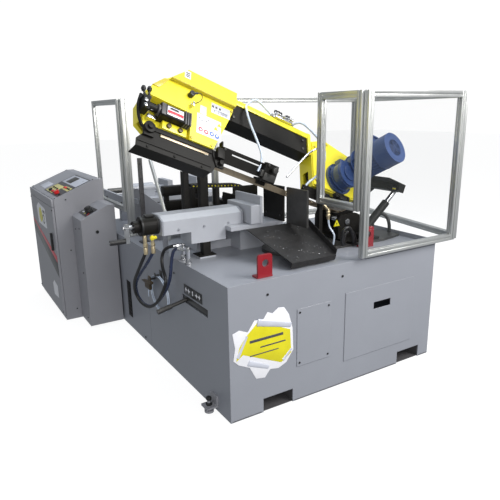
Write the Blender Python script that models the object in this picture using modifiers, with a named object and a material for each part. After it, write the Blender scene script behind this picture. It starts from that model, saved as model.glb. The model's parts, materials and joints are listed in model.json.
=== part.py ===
"""A semi-automatic horizontal band saw with a swivelling, tilted-wheel bow.

Units are metres and +Z is up. The stock runs along Y, the blade cuts across it in a plane parallel to XZ,
and the operator stands at -Y. Lengths below are in the machine frame, whose zero is the front left
bottom corner of the base; one empty moves that frame to the middle of the whole machine's footprint.
"""

import math

import bmesh
import bpy
from mathutils import Matrix, Vector

# ---------------------------------------------------------------- driving dimensions
BASE_W, BASE_D, BASE_H = 1.508, 1.107, 0.750
REAR_D, REAR_H, REAR_W = 1.15, 0.70, 0.86
SHEET = 0.004
CENTRE = (0.7410, 1.40675)

CUT_Y = 0.42
BED_Z = 0.925
JAW_X = 0.640
BOW_ANGLE = math.radians(22)
WHEEL_TILT = math.radians(30)
PIVOT = (1.100, CUT_Y, 0.880)
BLADE_OFFSET = (-0.5119, 0.0, 0.0337)
WHEEL_R = 0.1945
IDLER_S, DRIVE_S = -0.735, 0.400
WHEEL_T = WHEEL_R + 0.0015
BLADE_W, BLADE_T = 0.034, 0.002
GAP = 0.0004

TURN_CENTRE = (JAW_X, CUT_Y)
PORT_XS, PORT_Z = (-0.175, -0.130), 0.848
ELBOW, UNION, ELBOW_Z = (0.020, 0.478), (0.034, 0.577), 0.838
PROFILE = 0.038
GUARD_Z0, GUARD_Z1 = 0.767, 1.676
VISE_Y, VISE_Z = 0.620, 0.969
PIVOT_S, PIVOT_W = -BLADE_OFFSET[0], -BLADE_OFFSET[2]
LIFT_PIN = (0.771, 0.286)
FOOT = (1.140, 0.300, 0.790)
ROD_TOP = (1.4574, 0.300, 1.0709)
ROLLERS = (1.36, 2.55)

YELLOW = (0.84, 0.75, 0.05)
GREY = (0.32, 0.33, 0.37)
LIGHT_GREY = (0.50, 0.51, 0.55)
BLACK = (0.02, 0.019, 0.018)
DARK_STEEL = (0.10, 0.10, 0.10)
STEEL = (0.45, 0.45, 0.46)
ALUMINIUM = (0.62, 0.63, 0.62)
BLUE = (0.04, 0.10, 0.28)
RED = (0.60, 0.01, 0.02)


# ---------------------------------------------------------------- scene and materials
for old in list(bpy.data.objects):
    bpy.data.objects.remove(old, do_unlink=True)

PARTS = bpy.data.collections.new("horizontal_band_saw")
CUTTERS = bpy.data.collections.new("cutters")
for group in (PARTS, CUTTERS):
    bpy.context.scene.collection.children.link(group)
CUTTERS.hide_render = True


def material(name, colour, roughness=0.5, metallic=0.0):
    found = bpy.data.materials.get(name)
    if found:
        return found
    made = bpy.data.materials.new(name)
    made.use_nodes = True
    shader = made.node_tree.nodes["Principled BSDF"]
    shader.inputs["Base Color"].default_value = (*colour, 1)
    shader.inputs["Roughness"].default_value = roughness
    shader.inputs["Metallic"].default_value = metallic
    return made


YELLOW_PAINT = material("yellow_paint", YELLOW, 0.4)
GREY_PAINT = material("grey_paint", GREY, 0.45)
LIGHT_PAINT = material("light_grey_paint", LIGHT_GREY, 0.45)
BLACK_PAINT = material("black_paint", BLACK, 0.4)
DARK = material("dark_steel", DARK_STEEL, 0.5, 0.6)
BRIGHT = material("bright_steel", STEEL, 0.3, 0.9)
PROFILE_METAL = material("aluminium_profile", ALUMINIUM, 0.35, 0.8)
BLUE_PAINT = material("blue_paint", BLUE, 0.4)
RED_PAINT = material("red_paint", RED, 0.4)
RUBBER = material("black_rubber", BLACK, 0.7)


def empty(name, parent=None, location=(0, 0, 0), rotation=(0, 0, 0)):
    made = bpy.data.objects.new(name, None)
    PARTS.objects.link(made)
    made.parent = parent
    made.location = location
    made.rotation_euler = rotation
    return made


ROOT = empty("machine", location=(-CENTRE[0], -CENTRE[1], 0))
TURNTABLE = empty("turntable_axis", ROOT, (*TURN_CENTRE, 0))
BOW = empty("bow_axis", ROOT, PIVOT, (0, BOW_ANGLE, 0))
BLADE_LINE = empty("blade_line", BOW, BLADE_OFFSET)
WHEEL_PLANE = empty("wheel_plane", BLADE_LINE, rotation=(-WHEEL_TILT, 0, 0))


# ---------------------------------------------------------------- shape helpers
def finish(name, mesh, parent, paint, helper=False):
    """A mesh as an object of the machine, or as a hidden helper of a Boolean."""
    obj = bpy.data.objects.new(name, mesh)
    (CUTTERS if helper else PARTS).objects.link(obj)
    obj.parent = parent
    if helper:
        obj.hide_render = True
        obj.display_type = "WIRE"
    else:
        mesh.materials.append(paint)
    return obj


def bevelled(obj, width, segments=1):
    if width:
        modifier = obj.modifiers.new("edges", "BEVEL")
        modifier.width = width
        modifier.segments = segments
        modifier.limit_method = "ANGLE"
        modifier.angle_limit = math.radians(35)
    return obj


def box(name, low, high, parent=ROOT, paint=GREY_PAINT, bevel=0, helper=False):
    mesh = bpy.data.meshes.new(name)
    form = bmesh.new()
    bmesh.ops.create_cube(form, size=1)
    size = [b - a for a, b in zip(low, high)]
    middle = [(a + b) / 2 for a, b in zip(low, high)]
    bmesh.ops.scale(form, vec=size, verts=form.verts)
    form.to_mesh(mesh)
    form.free()
    obj = finish(name, mesh, parent, paint, helper)
    obj.location = middle
    return bevelled(obj, bevel)


def rod(name, start, end, radius, parent=ROOT, paint=BRIGHT, sides=24, end_radius=None, helper=False):
    """A round bar, or a cone, from one point to another."""
    start, end = Vector(start), Vector(end)
    mesh = bpy.data.meshes.new(name)
    form = bmesh.new()
    bmesh.ops.create_cone(
        form,
        cap_ends=True,
        segments=sides,
        radius1=radius,
        radius2=radius if end_radius is None else end_radius,
        depth=(end - start).length,
    )
    form.to_mesh(mesh)
    form.free()
    mesh.shade_smooth()
    mesh.set_sharp_from_angle(angle=math.radians(40))
    obj = finish(name, mesh, parent, paint, helper)
    obj.location = (start + end) / 2
    obj.rotation_euler = Vector((0, 0, 1)).rotation_difference(end - start).to_euler()
    return obj


FACING = {
    "z": Matrix.Identity(3),
    "y": Matrix(((1, 0, 0), (0, 0, -1), (0, 1, 0))),
    "x": Matrix(((0, 0, 1), (1, 0, 0), (0, 1, 0))),
}


def plate(name, outline, start, end, axis, parent=ROOT, paint=GREY_PAINT, holes=(), bevel=0, helper=False):
    """A flat outline made thick along an axis; the outline is in XY, XZ or YZ for axis z, y or x."""
    curve = bpy.data.curves.new(name, "CURVE")
    curve.dimensions = "2D"
    curve.fill_mode = "BOTH"
    curve.extrude = abs(end - start) / 2
    for ring in (outline, *holes):
        spline = curve.splines.new("POLY")
        spline.points.add(len(ring) - 1)
        for point, place in zip(spline.points, ring):
            point.co = (place[0], place[1], 0, 1)
        spline.use_cyclic_u = True
    drawn = bpy.data.objects.new(name + "_outline", curve)
    CUTTERS.objects.link(drawn)
    bpy.context.view_layer.update()
    mesh = bpy.data.meshes.new_from_object(drawn.evaluated_get(bpy.context.evaluated_depsgraph_get()))
    bpy.data.objects.remove(drawn)
    form = bmesh.new()
    form.from_mesh(mesh)
    bmesh.ops.remove_doubles(form, verts=form.verts, dist=1e-6)
    bmesh.ops.recalc_face_normals(form, faces=form.faces)
    form.to_mesh(mesh)
    form.free()
    mesh.name = name
    obj = finish(name, mesh, parent, paint, helper)
    turn = FACING[axis]
    shift = turn @ Vector((0, 0, 1))
    obj.location = shift * ((start + end) / 2 * (1 if axis != "y" else -1))
    obj.rotation_euler = turn.to_euler()
    return bevelled(obj, bevel)


def arc(cx, cy, radius, start, end, steps):
    """Points along an arc, angles in degrees."""
    return [
        (
            cx + radius * math.cos(math.radians(start + (end - start) * i / steps)),
            cy + radius * math.sin(math.radians(start + (end - start) * i / steps)),
        )
        for i in range(steps + 1)
    ]


def ring(cx, cy, radius, steps=16):
    return arc(cx, cy, radius, 0, 360 - 360 / steps, steps - 1)


def boolean(obj, operation, helpers):
    for helper in helpers:
        modifier = obj.modifiers.new(operation.lower(), "BOOLEAN")
        modifier.operation = operation
        modifier.object = helper
    return obj


def unite(obj, *helpers):
    return boolean(obj, "UNION", helpers)


def cut(obj, *helpers):
    return boolean(obj, "DIFFERENCE", helpers)


def tube(name, points, radius, parent=ROOT, paint=RUBBER, resolution=2):
    curve = bpy.data.curves.new(name, "CURVE")
    curve.dimensions = "3D"
    curve.bevel_depth = radius
    curve.bevel_resolution = resolution
    curve.use_fill_caps = True
    spline = curve.splines.new("POLY")
    spline.points.add(len(points) - 1)
    for point, place in zip(spline.points, points):
        point.co = (*place, 1)
    obj = bpy.data.objects.new(name, curve)
    PARTS.objects.link(obj)
    obj.parent = parent
    curve.materials.append(paint)
    return obj


def smooth_route(places, spacing):
    """Points at an even spacing on a Catmull-Rom curve through the places."""
    places = [Vector(p) for p in places]
    ends = [2 * places[0] - places[1], *places, 2 * places[-1] - places[-2]]
    fine = []
    for a, b, c, d in zip(ends, ends[1:], ends[2:], ends[3:]):
        for i in range(20):
            t = i / 20
            bend = (2 * a - 5 * b + 4 * c - d) * t**2 + (3 * b - a - 3 * c + d) * t**3
            fine.append(0.5 * (2 * b + (c - a) * t + bend))
    fine.append(places[-1])
    route, walked = [fine[0]], 0.0
    for before, after in zip(fine, fine[1:]):
        walked += (after - before).length
        if walked >= spacing:
            route.append(after)
            walked = 0.0
    if walked < spacing / 2:
        route.pop()
    return [*route, fine[-1]]


# ---------------------------------------------------------------- base and floor parts
def base_cabinet():
    """A folded cabinet, open underneath, with fork pockets, a raised rim at the right and a drawer bay."""
    base = box("base_cabinet", (0, 0, 0), (BASE_W, BASE_D, BASE_H))
    rim_h, rim_x, step = 0.030, 0.90, 0.025
    rim = plate(
        "rim_front", [(rim_x, BASE_H - 0.01), (BASE_W, BASE_H - 0.01), (BASE_W, BASE_H + rim_h),
                      (rim_x + step, BASE_H + rim_h), (rim_x, BASE_H)],
        0, SHEET, "y", helper=True,
    )  # fmt: skip
    side = box("rim_side", (BASE_W - SHEET, 0, BASE_H - 0.01), (BASE_W, BASE_D, BASE_H + rim_h), helper=True)
    post = box("hose_post", (0.001, 0.775, BASE_H - 0.01), (0.025, 0.799, 0.912), helper=True)
    elbow = rod("elbow_stem", (*ELBOW, BASE_H - 0.003), (*ELBOW, ELBOW_Z + 0.008), 0.010, sides=12,
                helper=True)
    elbow_arm = rod("elbow_arm", (-0.0085, ELBOW[1] + 0.030, ELBOW_Z), (*ELBOW, ELBOW_Z), 0.009, sides=12,
                    helper=True)
    union = rod("union_stem", (*UNION, BASE_H - 0.003), (*UNION, ELBOW_Z + 0.008), 0.010, sides=12,
                helper=True)
    union_arm = rod("union_arm", (-0.0040, UNION[1] + 0.008, ELBOW_Z), (*UNION, ELBOW_Z), 0.009, sides=12,
                    helper=True)
    unite(base, rim, side, post, elbow, elbow_arm, union, union_arm)
    wall = 0.006
    inside = box("base_inside", (wall, wall, -0.1), (BASE_W - wall, BASE_D - wall, BASE_H - wall),
                 helper=True)
    pockets = [
        box(f"fork_pocket_{i}", (x, -0.1, -0.1), (x + 0.195, BASE_D + 0.1, 0.08), helper=True)
        for i, x in enumerate((0.203, 1.220))
    ]
    bay = box("drawer_bay", (0.770, -0.1, 0.149), (1.325, 0.1, 0.564), helper=True)
    slot = box("lever_slot", (-0.1, 0.222, 0.516), (0.1, 0.548, 0.562), helper=True)
    opening = box("panel_opening", (0.440, -0.1, 0.225), (0.641, 0.1, 0.529), helper=True)
    return cut(base, inside, *pockets, bay, slot, opening)


def front_panels():
    box("access_panel", (0.422, -0.0033, 0.207), (0.659, -0.0003, 0.547), bevel=0.001)
    front = box("chip_drawer", (0.765, -0.004, 0.144), (1.330, -0.0003, 0.569), bevel=0.001)
    tray = box("drawer_tray", (0.785, -0.001, 0.165), (1.310, 0.600, 0.400), helper=True)
    hollow = box("drawer_hollow", (0.789, 0.003, 0.169), (1.306, 0.596, 0.500), helper=True)
    grip = box("drawer_grip", (0.989, -0.05, 0.424), (1.128, 0.05, 0.467), helper=True)
    unite(front, tray)
    cut(front, hollow, grip)


def rear_base():
    """The lower cabinet under the infeed side, a separate weldment bolted behind the base."""
    y0 = BASE_D + 0.004
    rear = box("rear_base", (0, y0, 0), (REAR_W, y0 + REAR_D, REAR_H))
    wall = 0.006
    inside = box("rear_inside", (wall, y0 + wall, -0.1), (REAR_W - wall, y0 + REAR_D - wall, REAR_H - wall),
                 helper=True)
    cut(rear, inside)


def levelling_foot():
    """A jacking screw on a bracket at the front of the base's left side."""
    x, y = -0.040, 0.17
    half = 0.035
    bracket = box("levelling_foot", (-0.070, y - half, 0.028), (-0.0003, y + half, 0.040), paint=BLACK_PAINT)
    web = box("foot_web", (-0.012, y - half, 0.035), (-0.0003, y + half, 0.095), helper=True)
    screw = rod("foot_screw", (x, y, 0), (x, y, 0.085), 0.009, sides=12, helper=True)
    pad = rod("foot_pad", (x, y, 0), (x, y, 0.014), 0.026, sides=16, helper=True)
    unite(bracket, web, screw, pad)


def lifting_lug(name, x, y, height):
    outline = [(x, BASE_H + 2 * GAP), (x + 0.088, BASE_H + 2 * GAP),
               *arc(x + 0.073, BASE_H + height - 0.015, 0.015, 0, 90, 3),
               *arc(x + 0.015, BASE_H + height - 0.015, 0.015, 90, 180, 3)]  # fmt: skip
    eye = ring(x + 0.046, BASE_H + height * 0.62, 0.020)
    lug = plate(name, outline, y, y + 0.012, "y", paint=RED_PAINT, holes=[eye])
    foot = box(name + "_foot", (x - 0.004, y + 0.003, BASE_H + GAP), (x + 0.092, y + 0.05, BASE_H + 0.010),
               helper=True)
    unite(lug, foot)


def mitre_lever():
    """The turntable clamp lever: a bent flat bar inside the base and a tube handle out through the slot."""
    y = 0.500
    lever = rod("mitre_lever", (-0.105, y, 0.512), (0.060, y, 0.548), 0.011, paint=DARK, sides=16)
    grip = rod("mitre_lever_grip", (-0.175, y, 0.497), (-0.090, y, 0.515), 0.015, sides=16, helper=True)
    hub = rod("mitre_lever_hub", (0.070, y, 0.525), (0.070, y, 0.575), 0.022, sides=16, helper=True)
    unite(lever, grip, hub)


# ---------------------------------------------------------------- table, jaws and vise
def cutting_table():
    """The bed behind the blade, on a pedestal that stands on the base."""
    outline = [(0.300, 0.480), (0.654, 0.480), (0.700, 0.526), (0.700, 0.950), (0.300, 0.950)]
    bed = plate("cutting_table", outline, BED_Z - 0.025, BED_Z, "z", paint=LIGHT_PAINT)
    pedestal = box("table_pedestal", (0.420, 0.580, BASE_H + GAP), (0.640, 0.900, BED_Z - 0.01), helper=True)
    ledge = box("table_ledge", (0.180, 0.700, BASE_H + GAP), (0.500, 0.900, BASE_H + 0.050), helper=True)
    unite(bed, pedestal, ledge)


def fixed_jaw():
    plate_t, top = 0.014, 1.140
    rear = box("fixed_jaw_rear", (JAW_X, 0.437, BED_Z + GAP), (JAW_X + plate_t, 0.655, top),
               paint=BLACK_PAINT, bevel=0.002)
    rib = plate(
        "jaw_rib", [(JAW_X + 0.01, BED_Z + GAP), (0.700, BED_Z + GAP), (0.700, 0.95), (JAW_X + 0.01, 1.09)],
        0.560, 0.580, "y", helper=True,
    )  # fmt: skip
    unite(rear, rib)


def turntable_parts():
    arm = [
        (0, -0.10), (0.15, -0.10), (0.18, -0.045), (0.255, -0.045), (0.27, -0.16), (0.66, -0.18), (0.845,
                                                                                                   -0.140),
        (0.845, 0.000), (0.66, 0.20), (0, 0.13),
    ]  # fmt: skip
    disc = rod("turntable", (0, 0, BASE_H + GAP), (0, 0, BASE_H + 0.022), 0.140, TURNTABLE, DARK, sides=40)
    arm_plate = plate("turntable_arm", arm, BASE_H + GAP, BASE_H + 0.016, "z", TURNTABLE, helper=True)
    column = box("turntable_column", (-0.06, -0.07, BASE_H + 0.01), (0.06, -0.0175, BED_Z - 0.0207),
                 TURNTABLE, helper=True)
    rest = box("front_rest", (-0.20, -0.0280, BED_Z - 0.040), (0.13, -0.0180, BED_Z - 0.006), TURNTABLE,
               helper=True)
    jaw = box("front_jaw", (0, -0.215, BED_Z + GAP), (0.014, -0.0175, 1.140), TURNTABLE, helper=True)
    rib = box("front_jaw_foot", (0.001, -0.0278, BED_Z - 0.02), (0.028, -0.0185, BED_Z + 0.03), TURNTABLE,
              helper=True)
    unite(disc, arm_plate, column, rest, jaw, rib)


def outfeed_chute():
    """A folded sheet that slopes down to the front, wide at the blade and narrow at the lip."""
    back, front = -0.030, -0.375
    top, low = BED_Z - 0.001, 0.795
    slope = math.atan2(top - low, back - front)
    length = (back - front) / math.cos(slope)
    frame = empty("chute_frame", TURNTABLE, (0, back, top), (slope, 0, 0))
    right_top, right_low, thick = 0.130, 0.085, 0.004
    outline = [(-0.29, 0), (right_top, 0), (right_low, -length), (-0.220, -length)]
    chute = plate("outfeed_chute", outline, -thick, 0, "z", frame, BLACK_PAINT)
    lip = box("chute_lip", (-0.220, -length - thick, -0.036), (right_low, -length, 0.0), frame, helper=True)
    clear = 0.036
    start = right_top - (right_top - right_low) * clear / length
    edge = [(start, -clear), (start - thick, -clear), (right_low - thick, -length), (right_low, -length)]
    wall = plate("chute_wall", edge, -thick, 0.034, "z", frame, helper=True)
    return unite(chute, lip, wall)


def vise():
    """A fixed body along X with a ram inside, a clamping cylinder and a hand crank at its left end."""
    y0, y1 = VISE_Y - 0.075, VISE_Y + 0.075
    x0, x1, deep = -0.100, 0.420, 0.075
    section = [(y0, 0.915), (y1, 0.915), (y1, 1.022), (y0 + 0.055, 1.022), (y0, 0.995)]
    body = plate("vise_body", section, x0, x1, "x", paint=LIGHT_PAINT)
    skirt = box("vise_skirt", (deep, y0, 0.845), (0.300, y1, 0.930), helper=True)
    way = box("ram_way", (-0.05, VISE_Y - 0.050, 0.935), (0.60, VISE_Y + 0.050, 1.003), helper=True)
    under = box("skirt_hollow", (deep + 0.012, y0 + 0.012, 0.80), (0.290, y1 - 0.012, 0.905), helper=True)
    neck = box("piston_hole", (-0.2, VISE_Y - 0.022, VISE_Z - 0.022), (0.0, VISE_Y + 0.022, VISE_Z + 0.022),
               helper=True)
    relief = box("bed_relief", (0.2996, y0 - 0.01, 0.80), (x1 + 0.01, y1 + 0.01, BED_Z + GAP), helper=True)
    unite(body, skirt)
    cut(body, way, under, neck, relief)
    post = box("vise_post", (0.150, y0, BASE_H + GAP), (0.195, y0 + 0.040, 0.850), helper=True)
    foot = box("vise_post_foot", (0.120, y0 - 0.010, BASE_H + GAP), (0.225, y0 + 0.08, BASE_H + 0.010),
               helper=True)
    unite(body, post, foot)

    jaw = box("vise_jaw", (0.432, y0 - 0.075, BED_Z + GAP * 2), (0.500, y1 + 0.06, 1.040), paint=LIGHT_PAINT,
              bevel=0.003)
    ram = box("vise_ram", (0.060, VISE_Y - 0.049, 0.936), (0.450, VISE_Y + 0.049, 1.002), helper=True)
    piston = rod("vise_piston", (-0.090, VISE_Y, VISE_Z), (0.10, VISE_Y, VISE_Z), 0.018, sides=16,
                 helper=True)
    face = box("vise_face", (0.495, y0 - 0.079, BED_Z + GAP * 2), (0.512, y1 + 0.064, 1.090), helper=True)
    unite(jaw, ram, piston, face)

    barrel_x = -0.205
    barrel = rod("vise_cylinder", (barrel_x, VISE_Y, VISE_Z), (x0 - GAP, VISE_Y, VISE_Z), 0.052,
                 paint=BLACK_PAINT, sides=32)
    bore = rod("cylinder_bore", (barrel_x + 0.02, VISE_Y, VISE_Z), (0, VISE_Y, VISE_Z), 0.040, sides=24,
               helper=True)
    cap = rod("cylinder_cap", (barrel_x - 0.035, VISE_Y, VISE_Z), (barrel_x + 0.01, VISE_Y, VISE_Z), 0.034,
              sides=24, helper=True)
    ports = [
        rod(f"vise_port_{i}", (x, VISE_Y, PORT_Z), (x, VISE_Y, VISE_Z - 0.045), 0.009, sides=10, helper=True)
        for i, x in enumerate(PORT_XS)
    ]
    unite(barrel, cap, *ports)
    cut(barrel, bore)

    hub_x = barrel_x - 0.035 - GAP
    crank = rod("vise_crank", (hub_x - 0.05, VISE_Y, VISE_Z), (hub_x, VISE_Y, VISE_Z), 0.014, paint=BRIGHT,
                sides=16)
    arm = box("crank_arm", (hub_x - 0.046, VISE_Y - 0.013, VISE_Z - 0.085),
              (hub_x - 0.024, VISE_Y + 0.013, VISE_Z + 0.022), helper=True)
    pin = rod("crank_pin", (hub_x - 0.135, VISE_Y, VISE_Z - 0.070), (hub_x - 0.04, VISE_Y, VISE_Z - 0.070),
              0.005, sides=12, helper=True)
    unite(crank, arm, pin)
    grip = rod("crank_grip", (hub_x - 0.133, VISE_Y, VISE_Z - 0.070), (hub_x - 0.048, VISE_Y, VISE_Z - 0.070),
               0.015, paint=RUBBER, sides=20)
    bore = rod("grip_bore", (hub_x - 0.2, VISE_Y, VISE_Z - 0.070), (hub_x, VISE_Y, VISE_Z - 0.070), 0.0056,
               sides=12, helper=True)
    cut(grip, bore)


# ---------------------------------------------------------------- bow
def wheel(name, s, bored=True):
    """A band wheel with lightening holes and, where it turns on an axle, a hub bore."""
    holes = [ring(s + 0.115 * math.cos(a), WHEEL_T + 0.115 * math.sin(a), 0.036, 12)
             for a in (math.tau * i / 5 for i in range(5))]  # fmt: skip
    if bored:
        holes.append(ring(s, WHEEL_T, 0.0229, 16))
    return plate(name, ring(s, WHEEL_T, WHEEL_R, 48), -0.018, 0.018, "y", WHEEL_PLANE, DARK, holes=holes)


def band_section(s, t, along, across):
    """The four corners of the band where its middle is at (s, t): across points to the teeth."""
    middle = Vector((s, 0, t))
    normal = along.cross(across).normalized()
    half, thin = across * (BLADE_W / 2), normal * (BLADE_T / 2)
    return [middle + half + thin, middle - half + thin, middle - half - thin, middle + half - thin]


def blade():
    """An endless band round both wheels, twisted upright between the two guides."""
    centre_t = WHEEL_T
    radius = WHEEL_R + 0.0009 + BLADE_T / 2
    teeth_back = Vector((0, 1, 0))
    upright = Matrix.Rotation(WHEEL_TILT, 3, "X") @ Vector((0, 0, -1))
    sections = []
    for step in range(25):
        angle = math.radians(90 + 180 * step / 24)
        along = Vector((math.sin(angle), 0, -math.cos(angle))) * -1
        place = (IDLER_S + radius * math.cos(angle), centre_t + radius * math.sin(angle))
        sections.append(band_section(*place, along, teeth_back))
    bottom = centre_t - radius
    twists = [(-0.71, 0.0), (-0.67, 0.2), (-0.63, 0.5), (-0.59, 0.8), (-0.55, 1.0), (0.16, 1.0), (0.20, 0.8),
              (0.25, 0.5),
              (0.30, 0.2), (0.37, 0.0)]  # fmt: skip
    for s, part in twists:
        across = teeth_back.lerp(upright, part).normalized()
        sections.append(band_section(s, bottom, Vector((1, 0, 0)), across))
    for step in range(25):
        angle = math.radians(-90 + 180 * step / 24)
        along = Vector((-math.sin(angle), 0, math.cos(angle)))
        place = (DRIVE_S + radius * math.cos(angle), centre_t + radius * math.sin(angle))
        sections.append(band_section(*place, along, teeth_back))
    mesh = bpy.data.meshes.new("saw_blade")
    form = bmesh.new()
    loops = [[form.verts.new(corner) for corner in section] for section in sections]
    for here, after in zip(loops, loops[1:] + loops[:1]):
        for i in range(4):
            form.faces.new((here[i], here[(i + 1) % 4], after[(i + 1) % 4], after[i]))
    bmesh.ops.recalc_face_normals(form, faces=form.faces)
    form.to_mesh(mesh)
    form.free()
    finish("saw_blade", mesh, WHEEL_PLANE, BRIGHT)


def offset_outline(outline, inset):
    """The outline moved inward by inset; its corners run anticlockwise."""
    moved = []
    count = len(outline)
    for i in range(count):
        before, here, after = (Vector(outline[j % count]) for j in (i - 1, i, i + 1))
        first, second = (here - before).normalized(), (after - here).normalized()
        n1, n2 = Vector((-first.y, first.x)), Vector((-second.y, second.x))
        bisector = (n1 + n2).normalized()
        moved.append(tuple(here + bisector * (inset / max(0.35, bisector.dot(n1)))))
    return moved


IDLER_OUTLINE = [
    (-0.900, 0.040), (-0.560, 0.040), (-0.470, 0.250), (-0.438, 0.335), (-0.428, 0.455),
    (-0.750, 0.455), (-0.873, 0.348), (-0.943, 0.278), (-0.975, 0.190), (-0.965, 0.090),
]  # fmt: skip
DRIVE_OUTLINE = [
    (0.180, 0.085), (0.420, 0.085), (0.560, 0.100), (0.622, 0.200), (0.610, 0.300),
    (0.520, 0.420), (0.300, 0.455), (0.180, 0.400),
]  # fmt: skip


def open_shell(name, outline, back, front, wall, paint=YELLOW_PAINT, helper=False):
    """A dish with its back wall at +Y and open to the front; the outline is in the wheel plane."""
    shell = plate(name, outline, front, back, "y", WHEEL_PLANE, paint, helper=helper)
    hollow = plate(name + "_hollow", offset_outline(outline, wall), front - 0.1, back - wall, "y",
                   WHEEL_PLANE, helper=True)
    return cut(shell, hollow)


def idler_group():
    shell = open_shell("idler_housing", IDLER_OUTLINE, 0.050, -0.026, 0.006)
    lower = plate("idler_lower", [(-0.955, 0.045), (-0.720, 0.045), (-0.720, 0.190), (-0.960, 0.190)],
                  -0.0245, -0.040, "y", WHEEL_PLANE, helper=True)  # fmt: skip
    passage = box("idler_passage", (-0.960, -0.022, -0.1), (-0.40, 0.024, 0.10), WHEEL_PLANE, helper=True)
    upper_way = box("idler_upper_way", (-0.60, -0.030, 0.34), (-0.35, 0.030, 0.42), WHEEL_PLANE, helper=True)
    way = box("carriage_way", (IDLER_S - 0.060, 0.03, WHEEL_R - 0.030),
              (IDLER_S + 0.050, 0.08, WHEEL_R + 0.033), WHEEL_PLANE, helper=True)
    unite(shell, lower)
    cut(shell, passage, upper_way, way)

    t = WHEEL_T
    carriage = box("tension_slide", (IDLER_S - 0.040, 0.0325, t - 0.028), (IDLER_S + 0.040, 0.072, t + 0.028),
                   WHEEL_PLANE, DARK)
    axle = rod("idler_axle", (IDLER_S, -0.024, t), (IDLER_S, 0.05, t), 0.022, WHEEL_PLANE, sides=24,
               helper=True)
    unite(carriage, axle)
    wheel("idler_wheel", IDLER_S)

    cover_outline = [
        (-0.710, 0.046), (-0.563, 0.046), (-0.474, 0.252), (-0.442, 0.335), (-0.432, 0.451),
        (-0.748, 0.451), (-0.869, 0.346), (-0.939, 0.276), (-0.955, 0.215), (-0.710, 0.205),
    ]  # fmt: skip
    cover = plate("idler_cover", cover_outline, -0.080, -0.0265, "y", WHEEL_PLANE, YELLOW_PAINT)
    hollow = plate("idler_cover_hollow", offset_outline(cover_outline, 0.005), -0.074, 0.1, "y", WHEEL_PLANE,
                   helper=True)
    hood = plate(
        "idler_hood", [(-0.748, 0.451), (-0.840, 0.360), (-0.436, 0.360),
                       (-0.432, 0.451)], -0.105, -0.075, "y", WHEEL_PLANE, helper=True
    )
    unite(cover, hood)
    cut(cover, hollow)

    unit = box("tension_unit", (-0.895, -0.115, 0.100), (-0.722, -0.0404, 0.172), WHEEL_PLANE, BLACK_PAINT,
               bevel=0.004)
    nose = rod("tension_nose", (-0.960, -0.082, 0.138), (-0.880, -0.082, 0.138), 0.020, WHEEL_PLANE, sides=20,
               helper=True)
    clevis = box("tension_clevis", (-0.985, -0.100, 0.110), (-0.950, -0.0405, 0.185), WHEEL_PLANE,
                 helper=True)
    unite(unit, nose, clevis)


def beam():
    """The box beam that joins the two housings, with a web down to the pivot knuckle."""
    beam_body = box("bow_beam", (-0.4276, -0.048, 0.300), (0.1797, 0.048, 0.448), WHEEL_PLANE, BLACK_PAINT)
    inside = box("beam_inside", (-0.5, -0.040, 0.308), (0.5, 0.040, 0.440), WHEEL_PLANE, helper=True)
    cut(beam_body, inside)


def drive_group():
    shell = open_shell("drive_housing", DRIVE_OUTLINE, 0.050, -0.060, 0.006)
    t = WHEEL_T
    way = box("drive_passage", (0.10, -0.024, -0.1), (0.60, 0.024, 0.20), WHEEL_PLANE, helper=True)
    upper_way = box("drive_upper_way", (0.10, -0.030, 0.34), (0.35, 0.030, 0.42), WHEEL_PLANE, helper=True)
    boss = rod("drive_bore", (DRIVE_S, 0.02, t), (DRIVE_S, 0.10, t), 0.034, WHEEL_PLANE, sides=24,
               helper=True)
    cut(shell, way, upper_way, boss)
    inner = offset_outline(DRIVE_OUTLINE, 0.0065)
    plate("drive_cover", inner, -0.066, -0.054, "y", WHEEL_PLANE, YELLOW_PAINT,
          holes=[ring(DRIVE_S, t, 0.028, 20)])


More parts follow.
